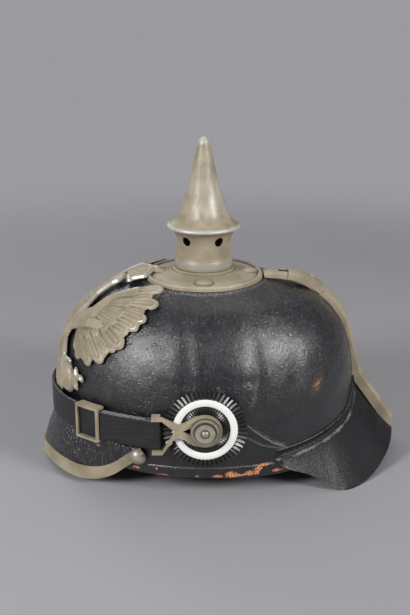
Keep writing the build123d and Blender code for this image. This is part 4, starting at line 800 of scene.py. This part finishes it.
class Flap:
    """One flap's section at any angle from its midline."""

    def __init__(self, facing, centre, angles, spans, shares, wall, band, bow, skive):
        """Spans hold a start and a run for the edge's reach, its height and the seam's height."""
        self.facing, self.centre, self.wall, self.band, self.bow = facing, centre, wall, band, bow
        self.skive = skive
        self.angles = [-a for a in reversed(angles[1:])] + list(angles)
        rows = [[start + run * share for share in row] for (start, run), row in zip(spans, shares)]
        self.rows = [list(reversed(row[1:])) + row for row in rows]

    def frame(self, angle):
        """Direction from the centre, the edge and the seam's height at an angle in degrees."""
        edge_reach, edge_height, seam_height = (at(self.angles, row, angle) for row in self.rows)
        turn = radians(angle)
        ending = min(max(1 - (self.angles[-1] - abs(angle)) / (2 * self.skive), 0.0), 1.0)
        edge_height += (seam_height - 1.2 - edge_height) * ending ** 2
        return (sin(turn), self.facing * cos(turn)), (edge_reach, edge_height), seam_height

    def on_skull(self, direction, height, grow):
        return wall_reach(self.centre, *direction, height, grow), height

    def spot(self, direction, distance, height):
        return distance * direction[0], self.centre + distance * direction[1], height

    def section(self, angle):
        """Points round the leather's section, from the band's top down to the edge and back up inside."""
        direction, edge, seam = self.frame(angle)
        wall, top, body = self.wall, seam + self.band, self.band - BAND_EDGE
        points = [self.on_skull(direction, top + rise, grow) for rise, grow in BAND_TOP]
        points += [self.on_skull(direction, seam + body * share, 0.6) for share in BAND_SHARES]
        root = self.on_skull(direction, seam, wall)
        points += [(root[0] - wall + 0.9, seam + 1.9), (root[0] - 0.6, seam + 1.5),
                   (root[0] + 0.1, seam + 0.6)]
        length = hypot(root[0] - edge[0], root[1] - edge[1])
        up = ((root[0] - edge[0]) / length, (root[1] - edge[1]) / length)

        def face(share, inset=0.0):
            """A point of the leather's outer face, between its edge and its root."""
            swell = 4 * self.bow * length * share * (1 - share)
            return (edge[0] - inset + up[0] * length * share + up[1] * swell,
                    edge[1] + up[1] * length * share - up[0] * swell)

        points += [face(share) for share in OUTER_SHARES]
        points += [(edge[0] - 0.25, edge[1] + 0.1), (edge[0] - wall / 2, edge[1]),
                   (edge[0] - wall + 0.25, edge[1] + 0.1)]
        for share in INNER_SHARES:
            distance, height = face(share, wall)
            points.append((distance - (1.0 if share == 1.0 else 0.0), max(height, 0.4)))
        thin = min(max((self.angles[-1] - abs(angle)) / self.skive, 0.0), 1.0)
        if thin < 1:
            thin = 0.12 + 0.88 * thin * (2 - thin)
            for i, (distance, height) in enumerate(points):
                skull_wall = wall_reach(self.centre, *direction, height)
                if distance > skull_wall:
                    points[i] = (skull_wall + (distance - skull_wall) * thin, height)
        return direction, [(distance, max(height, 0.1)) for distance, height in points]

    def place(self, across, along):
        angle = self.angles[0] + (self.angles[-1] - self.angles[0]) * along
        direction, points = self.section(angle)
        return self.spot(direction, *points[int(round(across * len(points))) % len(points)])

    def leather(self, name, rows):
        """The flap's leather, as one piece."""
        piece = shaped_grid(name, len(self.section(0)[1]), rows, self.place, caps=True)
        smooth(piece, 60)
        return piece

    def sewing(self, share, pitch):
        """Places of stitches along the band, at a share of its height."""
        places, angle = [], self.angles[0] + 3
        while angle < self.angles[-1] - 3:
            direction, edge, seam = self.frame(angle)
            height = seam + (self.band - BAND_EDGE) * share + 0.4
            spot = Vector(self.spot(direction, *self.on_skull(direction, height, 0.75)))
            if not places or (spot - places[-1]).length >= pitch:
                places.append(spot)
            angle += 0.25
        return places

    def stitches(self, name, thread, share):
        """A run of short, rounded stitches along the band."""
        pitch = sizes().stitch_pitch / MM
        places = self.sewing(share, pitch)
        clear_selection()
        bpy.ops.mesh.primitive_uv_sphere_add(segments=8, ring_count=6, radius=1.0)
        bead = bpy.context.object
        form, points, faces = [v.co.copy() for v in bead.data.vertices], [], []
        for a, b in zip(places, places[1:]):
            run = (b - a).normalized()
            out = Vector((a.x, a.y - self.centre, 0)).normalized()
            up = run.cross(out).normalized()
            out = up.cross(run)
            middle = a + (b - a) * 0.5
            faces += [tuple(i + len(points) for i in face.vertices) for face in bead.data.polygons]
            points += [tuple((middle + run * c.x * pitch * STITCH_SHARE + up * c.y * STITCH_RADIUS
                              + out * c.z * STITCH_RADIUS) * MM) for c in form]
        bpy.data.objects.remove(bead)
        mesh = bpy.data.meshes.new(name)
        mesh.from_pydata(points, [], faces)
        piece = bpy.data.objects.new(name, mesh)
        bpy.context.scene.collection.objects.link(piece)
        turn_faces(piece)
        smooth(piece, 80)
        place_piece(piece, "helmet", "black_leather", [sewing_thread(thread)])


class HELMET_OT_visor(bpy.types.Operator):
    """Build the front visor's leather, with its sewn band"""
    bl_idname = "helmet.visor"
    bl_label = "Front visor"

    def execute(self, context):
        flap = Flap(-1, VISOR_CENTRE, VISOR_ANGLES, VISOR_SPANS, (VISOR_REACH, VISOR_RISE, VISOR_SEAM),
                    VISOR_WALL, VISOR_BAND, VISOR_BOW, VISOR_SKIVE)
        visor = flap.leather("visor_leather", 150)
        write_marks(visor, "worn", lambda x, y, z: 0.33 * near(z, 43.5, 1.6) + 0.3 * near(z, 20, 9))
        leather = waxed_leather("cracked_visor_leather", (1.0, 1.0, 0.14), 2.3, 0.5, 0.24, 0.25, sheen=0.45,
                                crack_dust_and_glint=0.36)
        place_piece(visor, "helmet", "black_leather", [leather], "front_visor")
        flap.stitches("visor_stitches", "visor_thread", 0.55)
        return {"FINISHED"}


class HELMET_OT_guard(bpy.types.Operator):
    """Build the neck guard's leather, with its ridged and sewn band"""
    bl_idname = "helmet.guard"
    bl_label = "Neck guard"

    def execute(self, context):
        flap = Flap(1, GUARD_CENTRE, GUARD_ANGLES, GUARD_SPANS, (GUARD_REACH, GUARD_RISE, GUARD_SEAM),
                    GUARD_WALL, GUARD_BAND, GUARD_BOW, GUARD_SKIVE)
        guard = flap.leather("guard_leather", 190)

        def worn(x, y, z):
            """Wear on the band's ridge, along the seam, on the edge and below the seam."""
            edge, seam = flap.frame(degrees(atan2(x, y - GUARD_CENTRE)))[1:]
            mottle = 0.5 + 0.5 * noise.noise(Vector((x, y, z)) * 0.09)
            return (0.52 * near(z, seam + 7.3, 0.9) + mottle * near(z, seam + 0.2, 1.5)
                    + 0.36 * near(hypot(x, y - GUARD_CENTRE), edge[0], 1.6) * near(z, edge[1], 2)
                    + 0.22 * near(z, seam - 6, 6))

        write_marks(guard, "worn", worn)
        write_marks(guard, "bare", lambda x, y, z: 0.34 * near(z, 27, 3) * near(y, 68, 9))
        leather = waxed_leather("guard_black_leather", (1.0, 1.0, 0.8), 2.6, 0.06, 0.5, 0.12, 0.1, sheen=0.3)
        place_piece(guard, "helmet", "black_leather", [leather], "neck_guard")
        flap.stitches("guard_stitches", "guard_thread", 0.5)
        return {"FINISHED"}


# Chin strap

def strap_line():
    """The strap's middle line in plan, from one loose end round the front to the other."""
    front_y = STRAP_FRONT_RADIUS - STRAP_FRONT_REACH
    arm = STRAP_SIDE_RADIUS - STRAP_FRONT_RADIUS
    side_x = -arm * cos(radians(STRAP_TURN))
    side_y = front_y + arm * sin(radians(STRAP_TURN))
    middle = STRAP_SIDE_RADIUS + STRAP_GAP / 2
    half = STRAP_GAP / 2 + STRAP_WALL / 2
    bulge = BAR_RADIUS + STRAP_WALL / 2 + 0.05

    def side(angle, offset):
        turn = radians(angle)
        return side_x + (middle + offset) * cos(turn), side_y - (middle + offset) * sin(turn)

    def spread(angle):
        share = share_of(angle, STRAP_START, STRAP_START + 4.5)
        return bulge + (half - bulge) * share * share * (3 - 2 * share)

    def steps(first, last, count):
        return [first + (last - first) * i / count for i in range(count + 1)]

    points = [side(angle, spread(angle)) for angle in steps(STRAP_END, STRAP_START, 44)]
    bar = side(STRAP_START, 0)
    for i in range(1, 12):
        turn = pi * i / 12 - radians(STRAP_START)
        points.append((bar[0] + bulge * cos(turn), bar[1] + bulge * sin(turn)))
    points += [side(angle, -spread(angle)) for angle in steps(STRAP_START, STRAP_TURN, 44)]
    radius = STRAP_FRONT_RADIUS - STRAP_WALL / 2
    for angle in steps(STRAP_TURN, 90, 48)[1:]:
        turn = radians(angle)
        points.append((radius * cos(turn), front_y - radius * sin(turn)))
    return points + [(-x, y) for x, y in reversed(points[:-1])]


class HELMET_OT_strap(bpy.types.Operator):
    """Build the chin strap as one band, folded over the bar of each hook"""
    bl_idname = "helmet.strap"
    bl_label = "Chin strap"

    def execute(self, context):
        line = strap_line()
        wall, low, high = STRAP_WALL / 2 - 0.04, STRAP_LOW, STRAP_HIGH
        crown = [0.0, 0.08, 0.12, 0.12, 0.08, 0.0]
        widths = [low + 0.55, low + 2.2, low + 7, high - 7, high - 2.2, high - 0.55]
        section = [(wall + 0.25 * (c - 0.12), z) for c, z in zip(crown, widths)]
        section += [(wall * 0.8, high - 0.1), (wall * 0.6, high - 0.9), (-wall * 0.6, high - 0.9),
                    (-wall * 0.8, high - 0.1)]
        section += [(-wall, z) for z in reversed(widths)]
        section += [(-wall * 0.6, low + 0.1), (wall * 0.6, low + 0.1)]
        count, last = len(section), len(line) - 1

        def sag(x, y):
            return 0.35 * noise.noise(Vector((x * 0.03, y * 0.03, 2.0)))

        def place(across, along):
            i = int(round(along * last))
            a, b = line[max(i - 1, 0)], line[min(i + 1, last)]
            size = hypot(b[0] - a[0], b[1] - a[1])
            out, z = section[int(round(across * count)) % count]
            x, y = line[i]
            return x + (b[1] - a[1]) / size * out, y - (b[0] - a[0]) / size * out, z + sag(x, y)

        strap = shaped_grid("strap_leather", count, last, place, caps=True)
        write_marks(strap, "worn", lambda x, y, z: (
            0.95 * near(z - sag(x, y), high, 0.3) + 0.4 * near(z - sag(x, y), low, 0.4)))
        smooth(strap, 55)
        place_piece(strap, "strap", "strap_leather", [strap_leather("black_strap_leather")], "chin_strap")
        return {"FINISHED"}


# Cockades

class HELMET_OT_cockades(bpy.types.Operator):
    """Build the pleated, enamelled cockade of each side"""
    bl_idname = "helmet.cockades"
    bl_label = "Cockades"

    def execute(self, context):
        pleats = sizes().pleats
        black, white = enamel("black_enamel", *BLACK), enamel("white_enamel", *WHITE)
        red = enamel("red_enamel", *RED)
        for side, name, node in ((1, "cockade_pleats_left", "cockade_left"),
                                 (-1, "cockade_pleats_right", "cockade_right")):
            def place(across, along):
                radius = COCKADE_RADII[int(round(along * (len(COCKADE_RADII) - 1)))]
                turn = 2 * pi * across
                ring = RING_INNER <= radius <= RING_OUTER
                outside = radius > RING_OUTER
                wave = 2 * abs((across * pleats) % 1 - 0.5)
                wave = 1 - wave if outside else wave
                share = max((radius - RING_OUTER) / (COCKADE_RADIUS - RING_OUTER), 0)
                if outside:
                    height = PLEAT_FOOT + PLEAT_DEPTH * (1 - wave) - PLEAT_SLOPE * share
                    radius -= PLEAT_NOTCH * wave ** 2 * share ** 2
                elif ring:
                    edge = min(radius - RING_INNER, RING_OUTER - radius)
                    height = RING_HEIGHT + RING_SWELL * min(edge / RING_EDGE, 1) ** 0.5
                else:
                    height = 0.55 + 0.75 * wave * min((RING_INNER - radius) / 1.2, 1)
                x = side * (COCKADE_BACK + COCKADE_GAP + height)
                return x, POST_Y + radius * cos(turn), POST_Z + radius * sin(turn)

            piece = shaped_grid(name, pleats * 8, len(COCKADE_RADII) - 1, place)
            turn_faces(piece)
            if sum(p.normal.x * p.area for p in piece.data.polygons) * side < 0:
                turn_faces(piece, flip=True)
            for material in (black, white, black if side > 0 else red):
                piece.data.materials.append(material)
            for face in piece.data.polygons:
                radius = hypot(face.center.y / MM - POST_Y, face.center.z / MM - POST_Z)
                face.material_index = 0 if radius > RING_OUTER else (1 if radius > RING_INNER else 2)
            apply_modifier(piece, "SOLIDIFY", thickness=COCKADE_TIN * MM, offset=-1.0)

            def ridge(x, y, z):
                """Wear on the crests of the pleats, and on the boss."""
                radius = hypot(y - POST_Y, z - POST_Z)
                rise = abs(x) - COCKADE_BACK - COCKADE_GAP
                if RING_INNER <= radius <= RING_OUTER:
                    return 0.0
                if radius > RING_OUTER:
                    share = (radius - RING_OUTER) / (COCKADE_RADIUS - RING_OUTER)
                    crest = (rise - PLEAT_FOOT + PLEAT_SLOPE * share) / PLEAT_DEPTH
                    glint = 0.1 + 0.16 * noise.noise(Vector((y * 0.11, z * 0.11, 4.0 * (x > 0))))
                    return (glint + 0.12) * max(crest - 0.45, 0) / 0.55
                return 0.3 * (rise > 0.95)

            write_marks(piece, "rubbed", ridge)
            smooth(piece, 24)
            place_piece(piece, "helmet", "cockade_paint", (), node)
        return {"FINISHED"}


# Eagle plate

def capsule(u, v, x0, y0, x1, y1, width, end):
    """How far inside a tapered bar with round ends each point is, and its share across and along."""
    dx, dy = x1 - x0, y1 - y0
    t = np.clip(((u - x0) * dx + (v - y0) * dy) / (dx * dx + dy * dy), 0, 1)
    half = (width + (end - width) * t) / 2
    away = np.hypot(u - x0 - dx * t, v - y0 - dy * t)
    return half - away, np.clip(away / half, 0, 1), t


def oval_inside(u, v, x, y, half_x, half_y):
    """Like capsule, for an oval."""
    away = np.hypot((u - x) / half_x, (v - y) / half_y)
    return (1 - away) * min(half_x, half_y), np.clip(away, 0, 1), away


# Feathers from root to tip, their width at the root and at the tip, and the same for the eagle's other bars
FEATHERS = ((0.40, 0.80, 0.575, 1.265, 0.10, 0.15), (0.47, 0.80, 0.755, 1.165, 0.10, 0.14),
            (0.51, 0.76, 0.855, 1.00, 0.10, 0.125), (0.53, 0.70, 0.875, 0.895, 0.10, 0.14),
            (0.54, 0.62, 0.895, 0.665, 0.12, 0.18), (0.54, 0.54, 0.88, 0.505, 0.09, 0.10),
            (0.53, 0.48, 0.855, 0.395, 0.10, 0.15), (0.50, 0.42, 0.775, 0.26, 0.09, 0.125),
            (0.48, 0.38, 0.705, 0.24, 0.07, 0.09), (0.45, 0.37, 0.63, 0.19, 0.08, 0.11),
            (0.40, 0.36, 0.525, 0.215, 0.08, 0.09))
WEBS = ((0.44, 0.78, 0.64, 1.17, 0.10, 0.11), (0.50, 0.76, 0.775, 1.04, 0.10, 0.11),
        (0.53, 0.70, 0.85, 0.945, 0.10, 0.11), (0.54, 0.64, 0.865, 0.79, 0.12, 0.12),
        (0.54, 0.58, 0.90, 0.575, 0.12, 0.12), (0.54, 0.50, 0.865, 0.455, 0.12, 0.12),
        (0.51, 0.44, 0.79, 0.335, 0.12, 0.11), (0.47, 0.40, 0.67, 0.235, 0.10, 0.10),
        (0.42, 0.38, 0.55, 0.22, 0.10, 0.10))
COVERTS = ((0.38, 0.76, 0.52, 1.08, 0.09, 0.11), (0.41, 0.74, 0.64, 0.98, 0.09, 0.11),
           (0.42, 0.68, 0.70, 0.86, 0.09, 0.11), (0.43, 0.62, 0.72, 0.75, 0.09, 0.11),
           (0.43, 0.56, 0.715, 0.64, 0.09, 0.115), (0.42, 0.50, 0.685, 0.53, 0.09, 0.105),
           (0.40, 0.45, 0.62, 0.43, 0.08, 0.10), (0.37, 0.41, 0.545, 0.35, 0.08, 0.09))
WING_ARM = ((0.30, 0.40, 0.44, 0.58, 0.22, 0.22), (0.44, 0.58, 0.42, 0.82, 0.21, 0.14),
            (0.41, 0.80, 0.49, 1.12, 0.13, 0.07))
TAIL = ((0.0, 0.02, 0.0, -0.44, 0.12, 0.13), (0.09, 0.02, 0.15, -0.41, 0.12, 0.12),
        (0.16, 0.03, 0.30, -0.36, 0.11, 0.12), (0.22, 0.05, 0.43, -0.27, 0.10, 0.12))
LEGS = ((0.12, 0.12, 0.38, 0.01, 0.14, 0.10), (0.36, 0.01, 0.52, -0.02, 0.07, 0.05),
        (0.44, 0.0, 0.56, 0.05, 0.05, 0.035), (0.42, -0.01, 0.53, -0.10, 0.05, 0.035),
        (0.38, -0.01, 0.40, -0.12, 0.05, 0.035))
# Breast, head, orb and the sceptre's knob: centre and half sizes, the height of the edge and the rise
OVALS = (((0.0, 0.33, 0.26, 0.40), 1.0, 1.9), ((-0.03, 0.94, 0.125, 0.105), 1.3, 1.4),
         ((0.585, -0.10, 0.13, 0.13), 0.9, 1.6), ((-0.735, 0.205, 0.065, 0.065), 0.9, 0.9))
RIBBON = (0.20, 0.26, 0.66, 0.60, 0.105, 0.09)
CROSS = ((0.65, -0.03, 0.79, 0.045, 0.05, 0.06), (0.695, 0.05, 0.745, -0.08, 0.06, 0.06))
CROWN_BARS = ((0.0, 1.075, 0.18, 1.075, 0.08, 0.08), (0.17, 1.09, 0.215, 1.22, 0.06, 0.07),
              (0.215, 1.22, 0.0, 1.31, 0.07, 0.06), (0.0, 1.09, 0.0, 1.33, 0.07, 0.07),
              (0.055, 1.12, 0.11, 1.20, 0.16, 0.14))
HEAD = ((0.0, 0.60, -0.01, 0.90, 0.27, 0.18), (-0.10, 0.965, -0.24, 0.94, 0.11, 0.05),
        (-0.24, 0.94, -0.285, 0.865, 0.05, 0.025), (-0.10, 0.905, -0.20, 0.885, 0.045, 0.03))
SCEPTRE = ((-0.42, -0.32, -0.72, 0.18, 0.06, 0.06),)
# These bars from low to high: whether both halves have them, height of the edge, rise and ripple
FORMS = ((WEBS, True, -0.15, 0.5, 0.2), (FEATHERS, True, 0.0, 0.6, 0.3), (COVERTS, True, 0.45, 0.6, 0.26),
         (WING_ARM, True, 0.75, 0.9, 0.0), (TAIL, True, 0.1, 0.7, 0.26), (LEGS, True, 0.6, 1.0, 0.0),
         (HEAD, False, 1.15, 1.1, 0.0), (CROWN_BARS, True, 0.9, 0.9, 0.0), (CROSS, False, 0.8, 0.5, 0.0),
         (SCEPTRE, False, 0.8, 0.8, 0.0))
SHEET_STEP, SHEET_WALL, SHEET_EDGE = 0.0115, 0.0007, 0.03


def eagle_heights(u, v):
    """How far inside the eagle's outline each point is, and the height of its relief."""
    inside = np.full(u.shape, -9.0)
    height = np.full(u.shape, -9.0)
    a = np.abs(u)

    def add(found, base, rise, ripple=0.0):
        nonlocal inside, height
        depth, across, along = found
        inside = np.maximum(inside, depth)
        form = base + rise * np.clip(1 - across ** 2, 0, 1) ** 0.4
        form = form + ripple * np.cos(3 * pi * across) * np.clip(along * 3, 0, 1)
        height = np.where(depth > 0, np.maximum(height, form), height)

    for bars, both, base, rise, ripple in FORMS:
        for bar in bars:
            add(capsule(a if both else u, v, *bar), base, rise, ripple)
    for oval, base, rise in OVALS:
        add(oval_inside(u, v, *oval), base, rise)
    scales = np.sin(u * 62 + 1.6 * (np.floor(v * 16) % 2) * pi) * 0.5 + (v * 16 % 1)
    on_breast = np.clip((0.23 - np.hypot(u / 1.0, (v - 0.36) * 0.62)) / 0.08, 0, 1)
    height = height + 0.34 * on_breast * (scales - 0.5)
    eye = np.exp(-((u + 0.075) ** 2 + (v - 0.965) ** 2) / 0.0003)
    height = height - 0.7 * eye
    for side in (1, -1):
        depth, across, along = capsule(side * u, v, *RIBBON)
        ribbon = 1.75 + 0.25 * np.cos(along * 9) - 0.5 * np.clip(across - 0.85, 0, 1)
        height = np.where(depth > 0, np.maximum(height, ribbon), height)
        inside = np.maximum(inside, depth)
    return inside, height


def soft_copy(values, shape, spread):
    """Values of a grid's points, each averaged with its neighbours up to a spread in points."""
    grid = values.reshape(shape)
    for axis in (0, 1):
        grid = sum(np.roll(grid, step, axis) for step in range(-spread, spread + 1)) / (2 * spread + 1)
    return grid.ravel()


def plate_out(u, v):
    """Points on the dome above points of the plate's plane, all in millimetres."""
    tilt = PLATE_TILT
    low, high = np.zeros(u.shape), np.full(u.shape, 150.0)
    for _ in range(26):
        depth = (low + high) / 2
        y = v * sin(tilt) - depth * cos(tilt)
        z = v * cos(tilt) + depth * sin(tilt)
        rise = np.clip(z - WIDEST, 0, None) / CROWN_RISE
        front, rear, side = (full * np.clip(1 - rise ** power, 1e-9, None) ** (1 / power)
                             for full, power in zip((BROW, NAPE, HALF_WIDTH), POWERS))
        within = (u / side) ** 2 + ((y - (rear - front) / 2) / ((front + rear) / 2)) ** 2 < 1
        within &= z < CROWN + 4
        low, high = np.where(within, depth, low), np.where(within, high, depth)
    return u, v * sin(tilt) - low * cos(tilt), v * cos(tilt) + low * sin(tilt)


class HELMET_OT_eagle(bpy.types.Operator):
    """Press the eagle plate out of one sheet, with a bare ribbon and no lettering"""
    bl_idname = "helmet.eagle"
    bl_label = "Eagle plate"

    def execute(self, context):
        step = SHEET_STEP
        clear_selection()
        columns, rows = int(PLATE_SPAN / step), int(PLATE_HEIGHT / step)
        bpy.ops.mesh.primitive_grid_add(x_subdivisions=columns, y_subdivisions=rows, size=1.0)
        plate = context.object
        plate.name = "eagle_sheet"
        count = len(plate.data.vertices)
        co = np.zeros(count * 3)
        plate.data.vertices.foreach_get("co", co)
        co = co.reshape(-1, 3)
        u, v = co[:, 0] * PLATE_SPAN, co[:, 1] * PLATE_HEIGHT + PLATE_RISE
        inside, height = eagle_heights(u, v)
        for _ in range(4):
            small = 1e-3
            du = (eagle_heights(u + small, v)[0] - inside) / small
            dv = (eagle_heights(u, v + small)[0] - inside) / small
            move = (np.abs(inside) < step * 0.75) & (inside < 0.2 * step)
            size = np.maximum(du * du + dv * dv, 0.2)
            u = np.where(move, u - np.clip(inside * du / size, -step, step) * 0.9, u)
            v = np.where(move, v - np.clip(inside * dv / size, -step, step) * 0.9, v)
            inside, height = eagle_heights(u, v)
        keep = inside > -step * 0.12
        height = np.where(height < -5, 0.0, height)
        relief = sizes().feather_relief / MM
        edge = np.clip(inside / SHEET_EDGE, 0, 1)
        proud = 1.6 * np.clip((v - 0.75) / 0.5, 0, 1) * np.clip((np.abs(u) - 0.2) / 0.3, 0, 1)
        grow = PLATE_OFF + proud - 1.2 * (1 - edge) ** 2 + relief * 0.95 * (height - 0.6) * np.sqrt(edge)
        x, y, z = plate_out(u * PLATE_HALF, v * PLATE_HALF)
        nx = x / HALF_WIDTH ** 2
        ny = y / BROW ** 2
        nz = np.clip(z - WIDEST, 0, None) / CROWN_RISE ** 2 * np.clip((z - WIDEST) / 60, 0.2, 1.2)
        normal = np.stack([nx, ny, nz], 1)
        normal /= np.linalg.norm(normal, axis=1)[:, None]
        spot = np.stack([x, y, z], 1) + normal * grow[:, None]
        plate.data.vertices.foreach_set("co", (spot * MM).ravel())
        # The relief's hollows, below a blurred copy of it, get painted shade; its raised parts are rubbed.
        stands_out = height - soft_copy(np.maximum(height, -0.3), (rows + 1, columns + 1), 5)
        spots = np.sin(u * 9 + 2) * np.sin(v * 11) * 0.1
        rubbed = 0.1 + 0.9 * stands_out + spots + 0.15 * np.exp(-((inside - 0.01) / 0.012) ** 2)
        for name, mark in (("rubbed", rubbed), ("painted_shade", -2.2 * stands_out * edge)):
            values = np.clip(mark, 0, 1).astype(np.float32)
            plate.data.attributes.new(name, "FLOAT", "POINT").data.foreach_set("value", values)
        edit_all(plate)
        bpy.ops.mesh.select_all(action="DESELECT")
        bpy.ops.mesh.select_mode(type="VERT")
        bpy.ops.object.mode_set(mode="OBJECT")
        for vertex, kept in zip(plate.data.vertices, keep):
            vertex.select = not kept
        bpy.ops.object.mode_set(mode="EDIT")
        bpy.ops.mesh.delete(type="VERT")
        bpy.ops.mesh.select_all(action="SELECT")
        bpy.ops.mesh.delete_loose(use_verts=True, use_edges=True, use_faces=False)
        turn_faces(plate)
        if sum(-p.normal.y * p.area for p in plate.data.polygons) < 0:
            turn_faces(plate, flip=True)
        apply_modifier(plate, "SOLIDIFY", thickness=SHEET_WALL, offset=-1.0)
        smooth(plate, 60)
        place_piece(plate, "helmet", "field_paint", [field_paint("eagle_paint", 0.16)],
                    "eagle_plate", "eagle_relief")
        return {"FINISHED"}


# Liner

def liner_oval(height, inset):
    """Front reach, rear reach and half width of the middle of the liner's leather."""
    return [size - (inset + LINER_WALL / 2) for size in skull_oval(height, -3.0)]


class HELMET_OT_liner(bpy.types.Operator):
    """Build the liner's sweatband with its drawn fingers, and the cord through their tips"""
    bl_idname = "helmet.liner"
    bl_label = "Liner"

    def execute(self, context):
        levels = [(h, *liner_oval(h, inset)) for h, inset in zip(LINER_LEVELS, LINER_INSETS)]

        def place(across, along):
            angle = 2 * pi * across
            z, front, rear, side = through(levels, along)
            if along < 0.16:
                y = oval_point(front, rear, side, angle)[1]
                z = max(z, height_along(RIM, y) + 1.5 + 10 * along)
            finger = (across * FINGERS) % 1
            gap = 2 * abs(finger - 0.5)
            high = min(max((z - 68) / 40, 0), 1)
            pucker = 1.6 * cos(finger * 2 * pi) * high ** 1.5
            x, y = oval_point(front + pucker, rear + pucker, side + pucker, angle)
            dip = 9.0 * max(gap - 0.72, 0) / 0.28 * high ** 2
            return x, y, z - dip * 0.5

        liner = shaped_grid("liner_band", 216, 60, place)
        apply_modifier(liner, "SOLIDIFY", thickness=LINER_SHOWN * MM, offset=0.0)
        smooth(liner, 60)
        leather = liner_leather("brown_liner_leather")
        place_piece(liner, "helmet", "liner_leather", [leather], "liner")
        front, rear, side = levels[-1][1:]

        def strand(phase):
            def cord(across, along):
                angle, turn = 2 * pi * along, 2 * pi * across
                x, y = oval_point(front, rear, side, angle)
                out = Vector((cos(angle), sin(angle), 0))
                lift = Vector((0, 0, 1))
                lay = angle * CORD_TURNS + phase
                centre = Vector((x, y, CORD_HEIGHT))
                middle = centre + CORD_STRAND * (cos(lay) * out + sin(lay) * lift)
                return middle + CORD_STRAND * (cos(turn) * out + sin(turn) * lift)
            return cord

        linen = linen_cord("linen_cord")
        for name, phase in (("drawstring_a", 0.0), ("drawstring_b", pi)):
            string = shaped_grid(name, 10, 520, strand(phase))
            turn_faces(string)
            smooth(string, 80)
            place_piece(string, "helmet", "cord", [linen], "liner_drawstring")
        clear_selection()
        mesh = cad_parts["plate_wedges"].data.copy()
        mesh.name = "wedge_leather"
        mesh.materials.clear()
        wedges = bpy.data.objects.new("wedge_leather", mesh)
        context.scene.collection.objects.link(wedges)
        edit_all(wedges)
        bpy.ops.mesh.remove_doubles(threshold=1e-5)
        bpy.ops.object.mode_set(mode="OBJECT")
        apply_modifier(wedges, "BEVEL", width=0.0004, segments=2, limit_method="ANGLE")
        place_piece(wedges, "helmet", "liner_leather", [leather], "plate_wedges")
        return {"FINISHED"}


# Metal

class HELMET_OT_metal(bpy.types.Operator):
    """Paint the metal that keeps its CAD shape"""
    bl_idname = "helmet.metal"
    bl_label = "Metal"

    def execute(self, context):
        paint = field_paint("field_paint", 0.12)
        level, upright = (1, 1, 0), (0, 1, 1)
        # Rings of painted shade round the base's studs and in its grooves, and in the grooves of the post
        # heads.
        rings = [((x * BASE_STUD_CIRCLE, y * BASE_STUD_CIRCLE, 0), level, *BASE_STUD_RING)
                 for x, y in ((1, 0), (0, 1), (-1, 0), (0, -1))]
        rings += [((0, 0, 0), level, *ring) for ring in BASE_GROOVES]
        post_shade_rings = [((0, POST_Y, POST_Z), upright, *ring) for ring in POST_GROOVES]
        base = field_paint("base_paint", 0.16, (DISC_RIM,), rings)
        neck = field_paint("neck_paint", 0.12, (COLLAR,))
        cone = cone_paint("cone_paint")
        steel = tarnished_steel("tarnished_steel")
        post = tarnished_steel("post_steel", post_shade_rings)
        finishes = {"spike_base": base, "spike_base_studs": base, "spike_neck": neck, "spike_cone": cone,
                    "side_post_left": post, "side_post_right": post}
        finishes.update(dict.fromkeys(("visor_trim", "spine", "vent_slide", "vent_slide_knob", "hook_left",
                                       "hook_right", "buckle_left", "buckle_right"), paint))
        finishes.update(dict.fromkeys(("visor_trim_studs", "spike_base_washers", "spine_screw", "spine_nut",
                                       "side_post_washers", "plate_loops"), steel))
        for node, finish in finishes.items():
            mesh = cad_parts[node].data
            if not mesh.materials:
                mesh.materials.append(finish)
            for i in range(len(mesh.materials)):
                mesh.materials[i] = finish
        return {"FINISHED"}


class HELMET_PT_panel(bpy.types.Panel):
    """The helmet's settings and the buttons that build it"""
    bl_idname = "HELMET_PT_panel"
    bl_label = "Spiked helmet"
    bl_space_type = "VIEW_3D"
    bl_region_type = "UI"
    bl_category = "Helmet"

    def draw(self, context):
        for group in (context.scene.helmet_colours, context.scene.helmet_sizes):
            for name in group.__annotations__:
                self.layout.prop(group, name)
        for operator in OPERATORS:
            self.layout.operator(operator.bl_idname)


OPERATORS = (HELMET_OT_stage, HELMET_OT_metal, HELMET_OT_skull, HELMET_OT_visor, HELMET_OT_guard,
             HELMET_OT_strap, HELMET_OT_cockades, HELMET_OT_eagle, HELMET_OT_liner)
CLASSES = (HelmetColours, HelmetSizes) + OPERATORS + (HELMET_PT_panel,)


def register():
    for item in CLASSES:
        bpy.utils.register_class(item)
    bpy.types.Scene.helmet_colours = PointerProperty(type=HelmetColours)
    bpy.types.Scene.helmet_sizes = PointerProperty(type=HelmetSizes)


def unregister():
    del bpy.types.Scene.helmet_sizes
    del bpy.types.Scene.helmet_colours
    for item in reversed(CLASSES):
        bpy.utils.unregister_class(item)


def main():
    register()
    bpy.ops.helmet.stage()
    bpy.ops.helmet.metal()
    bpy.ops.helmet.skull()
    bpy.ops.helmet.visor()
    bpy.ops.helmet.guard()
    bpy.ops.helmet.strap()
    bpy.ops.helmet.cockades()
    bpy.ops.helmet.eagle()
    bpy.ops.helmet.liner()


if __name__ == "__main__":
    main()
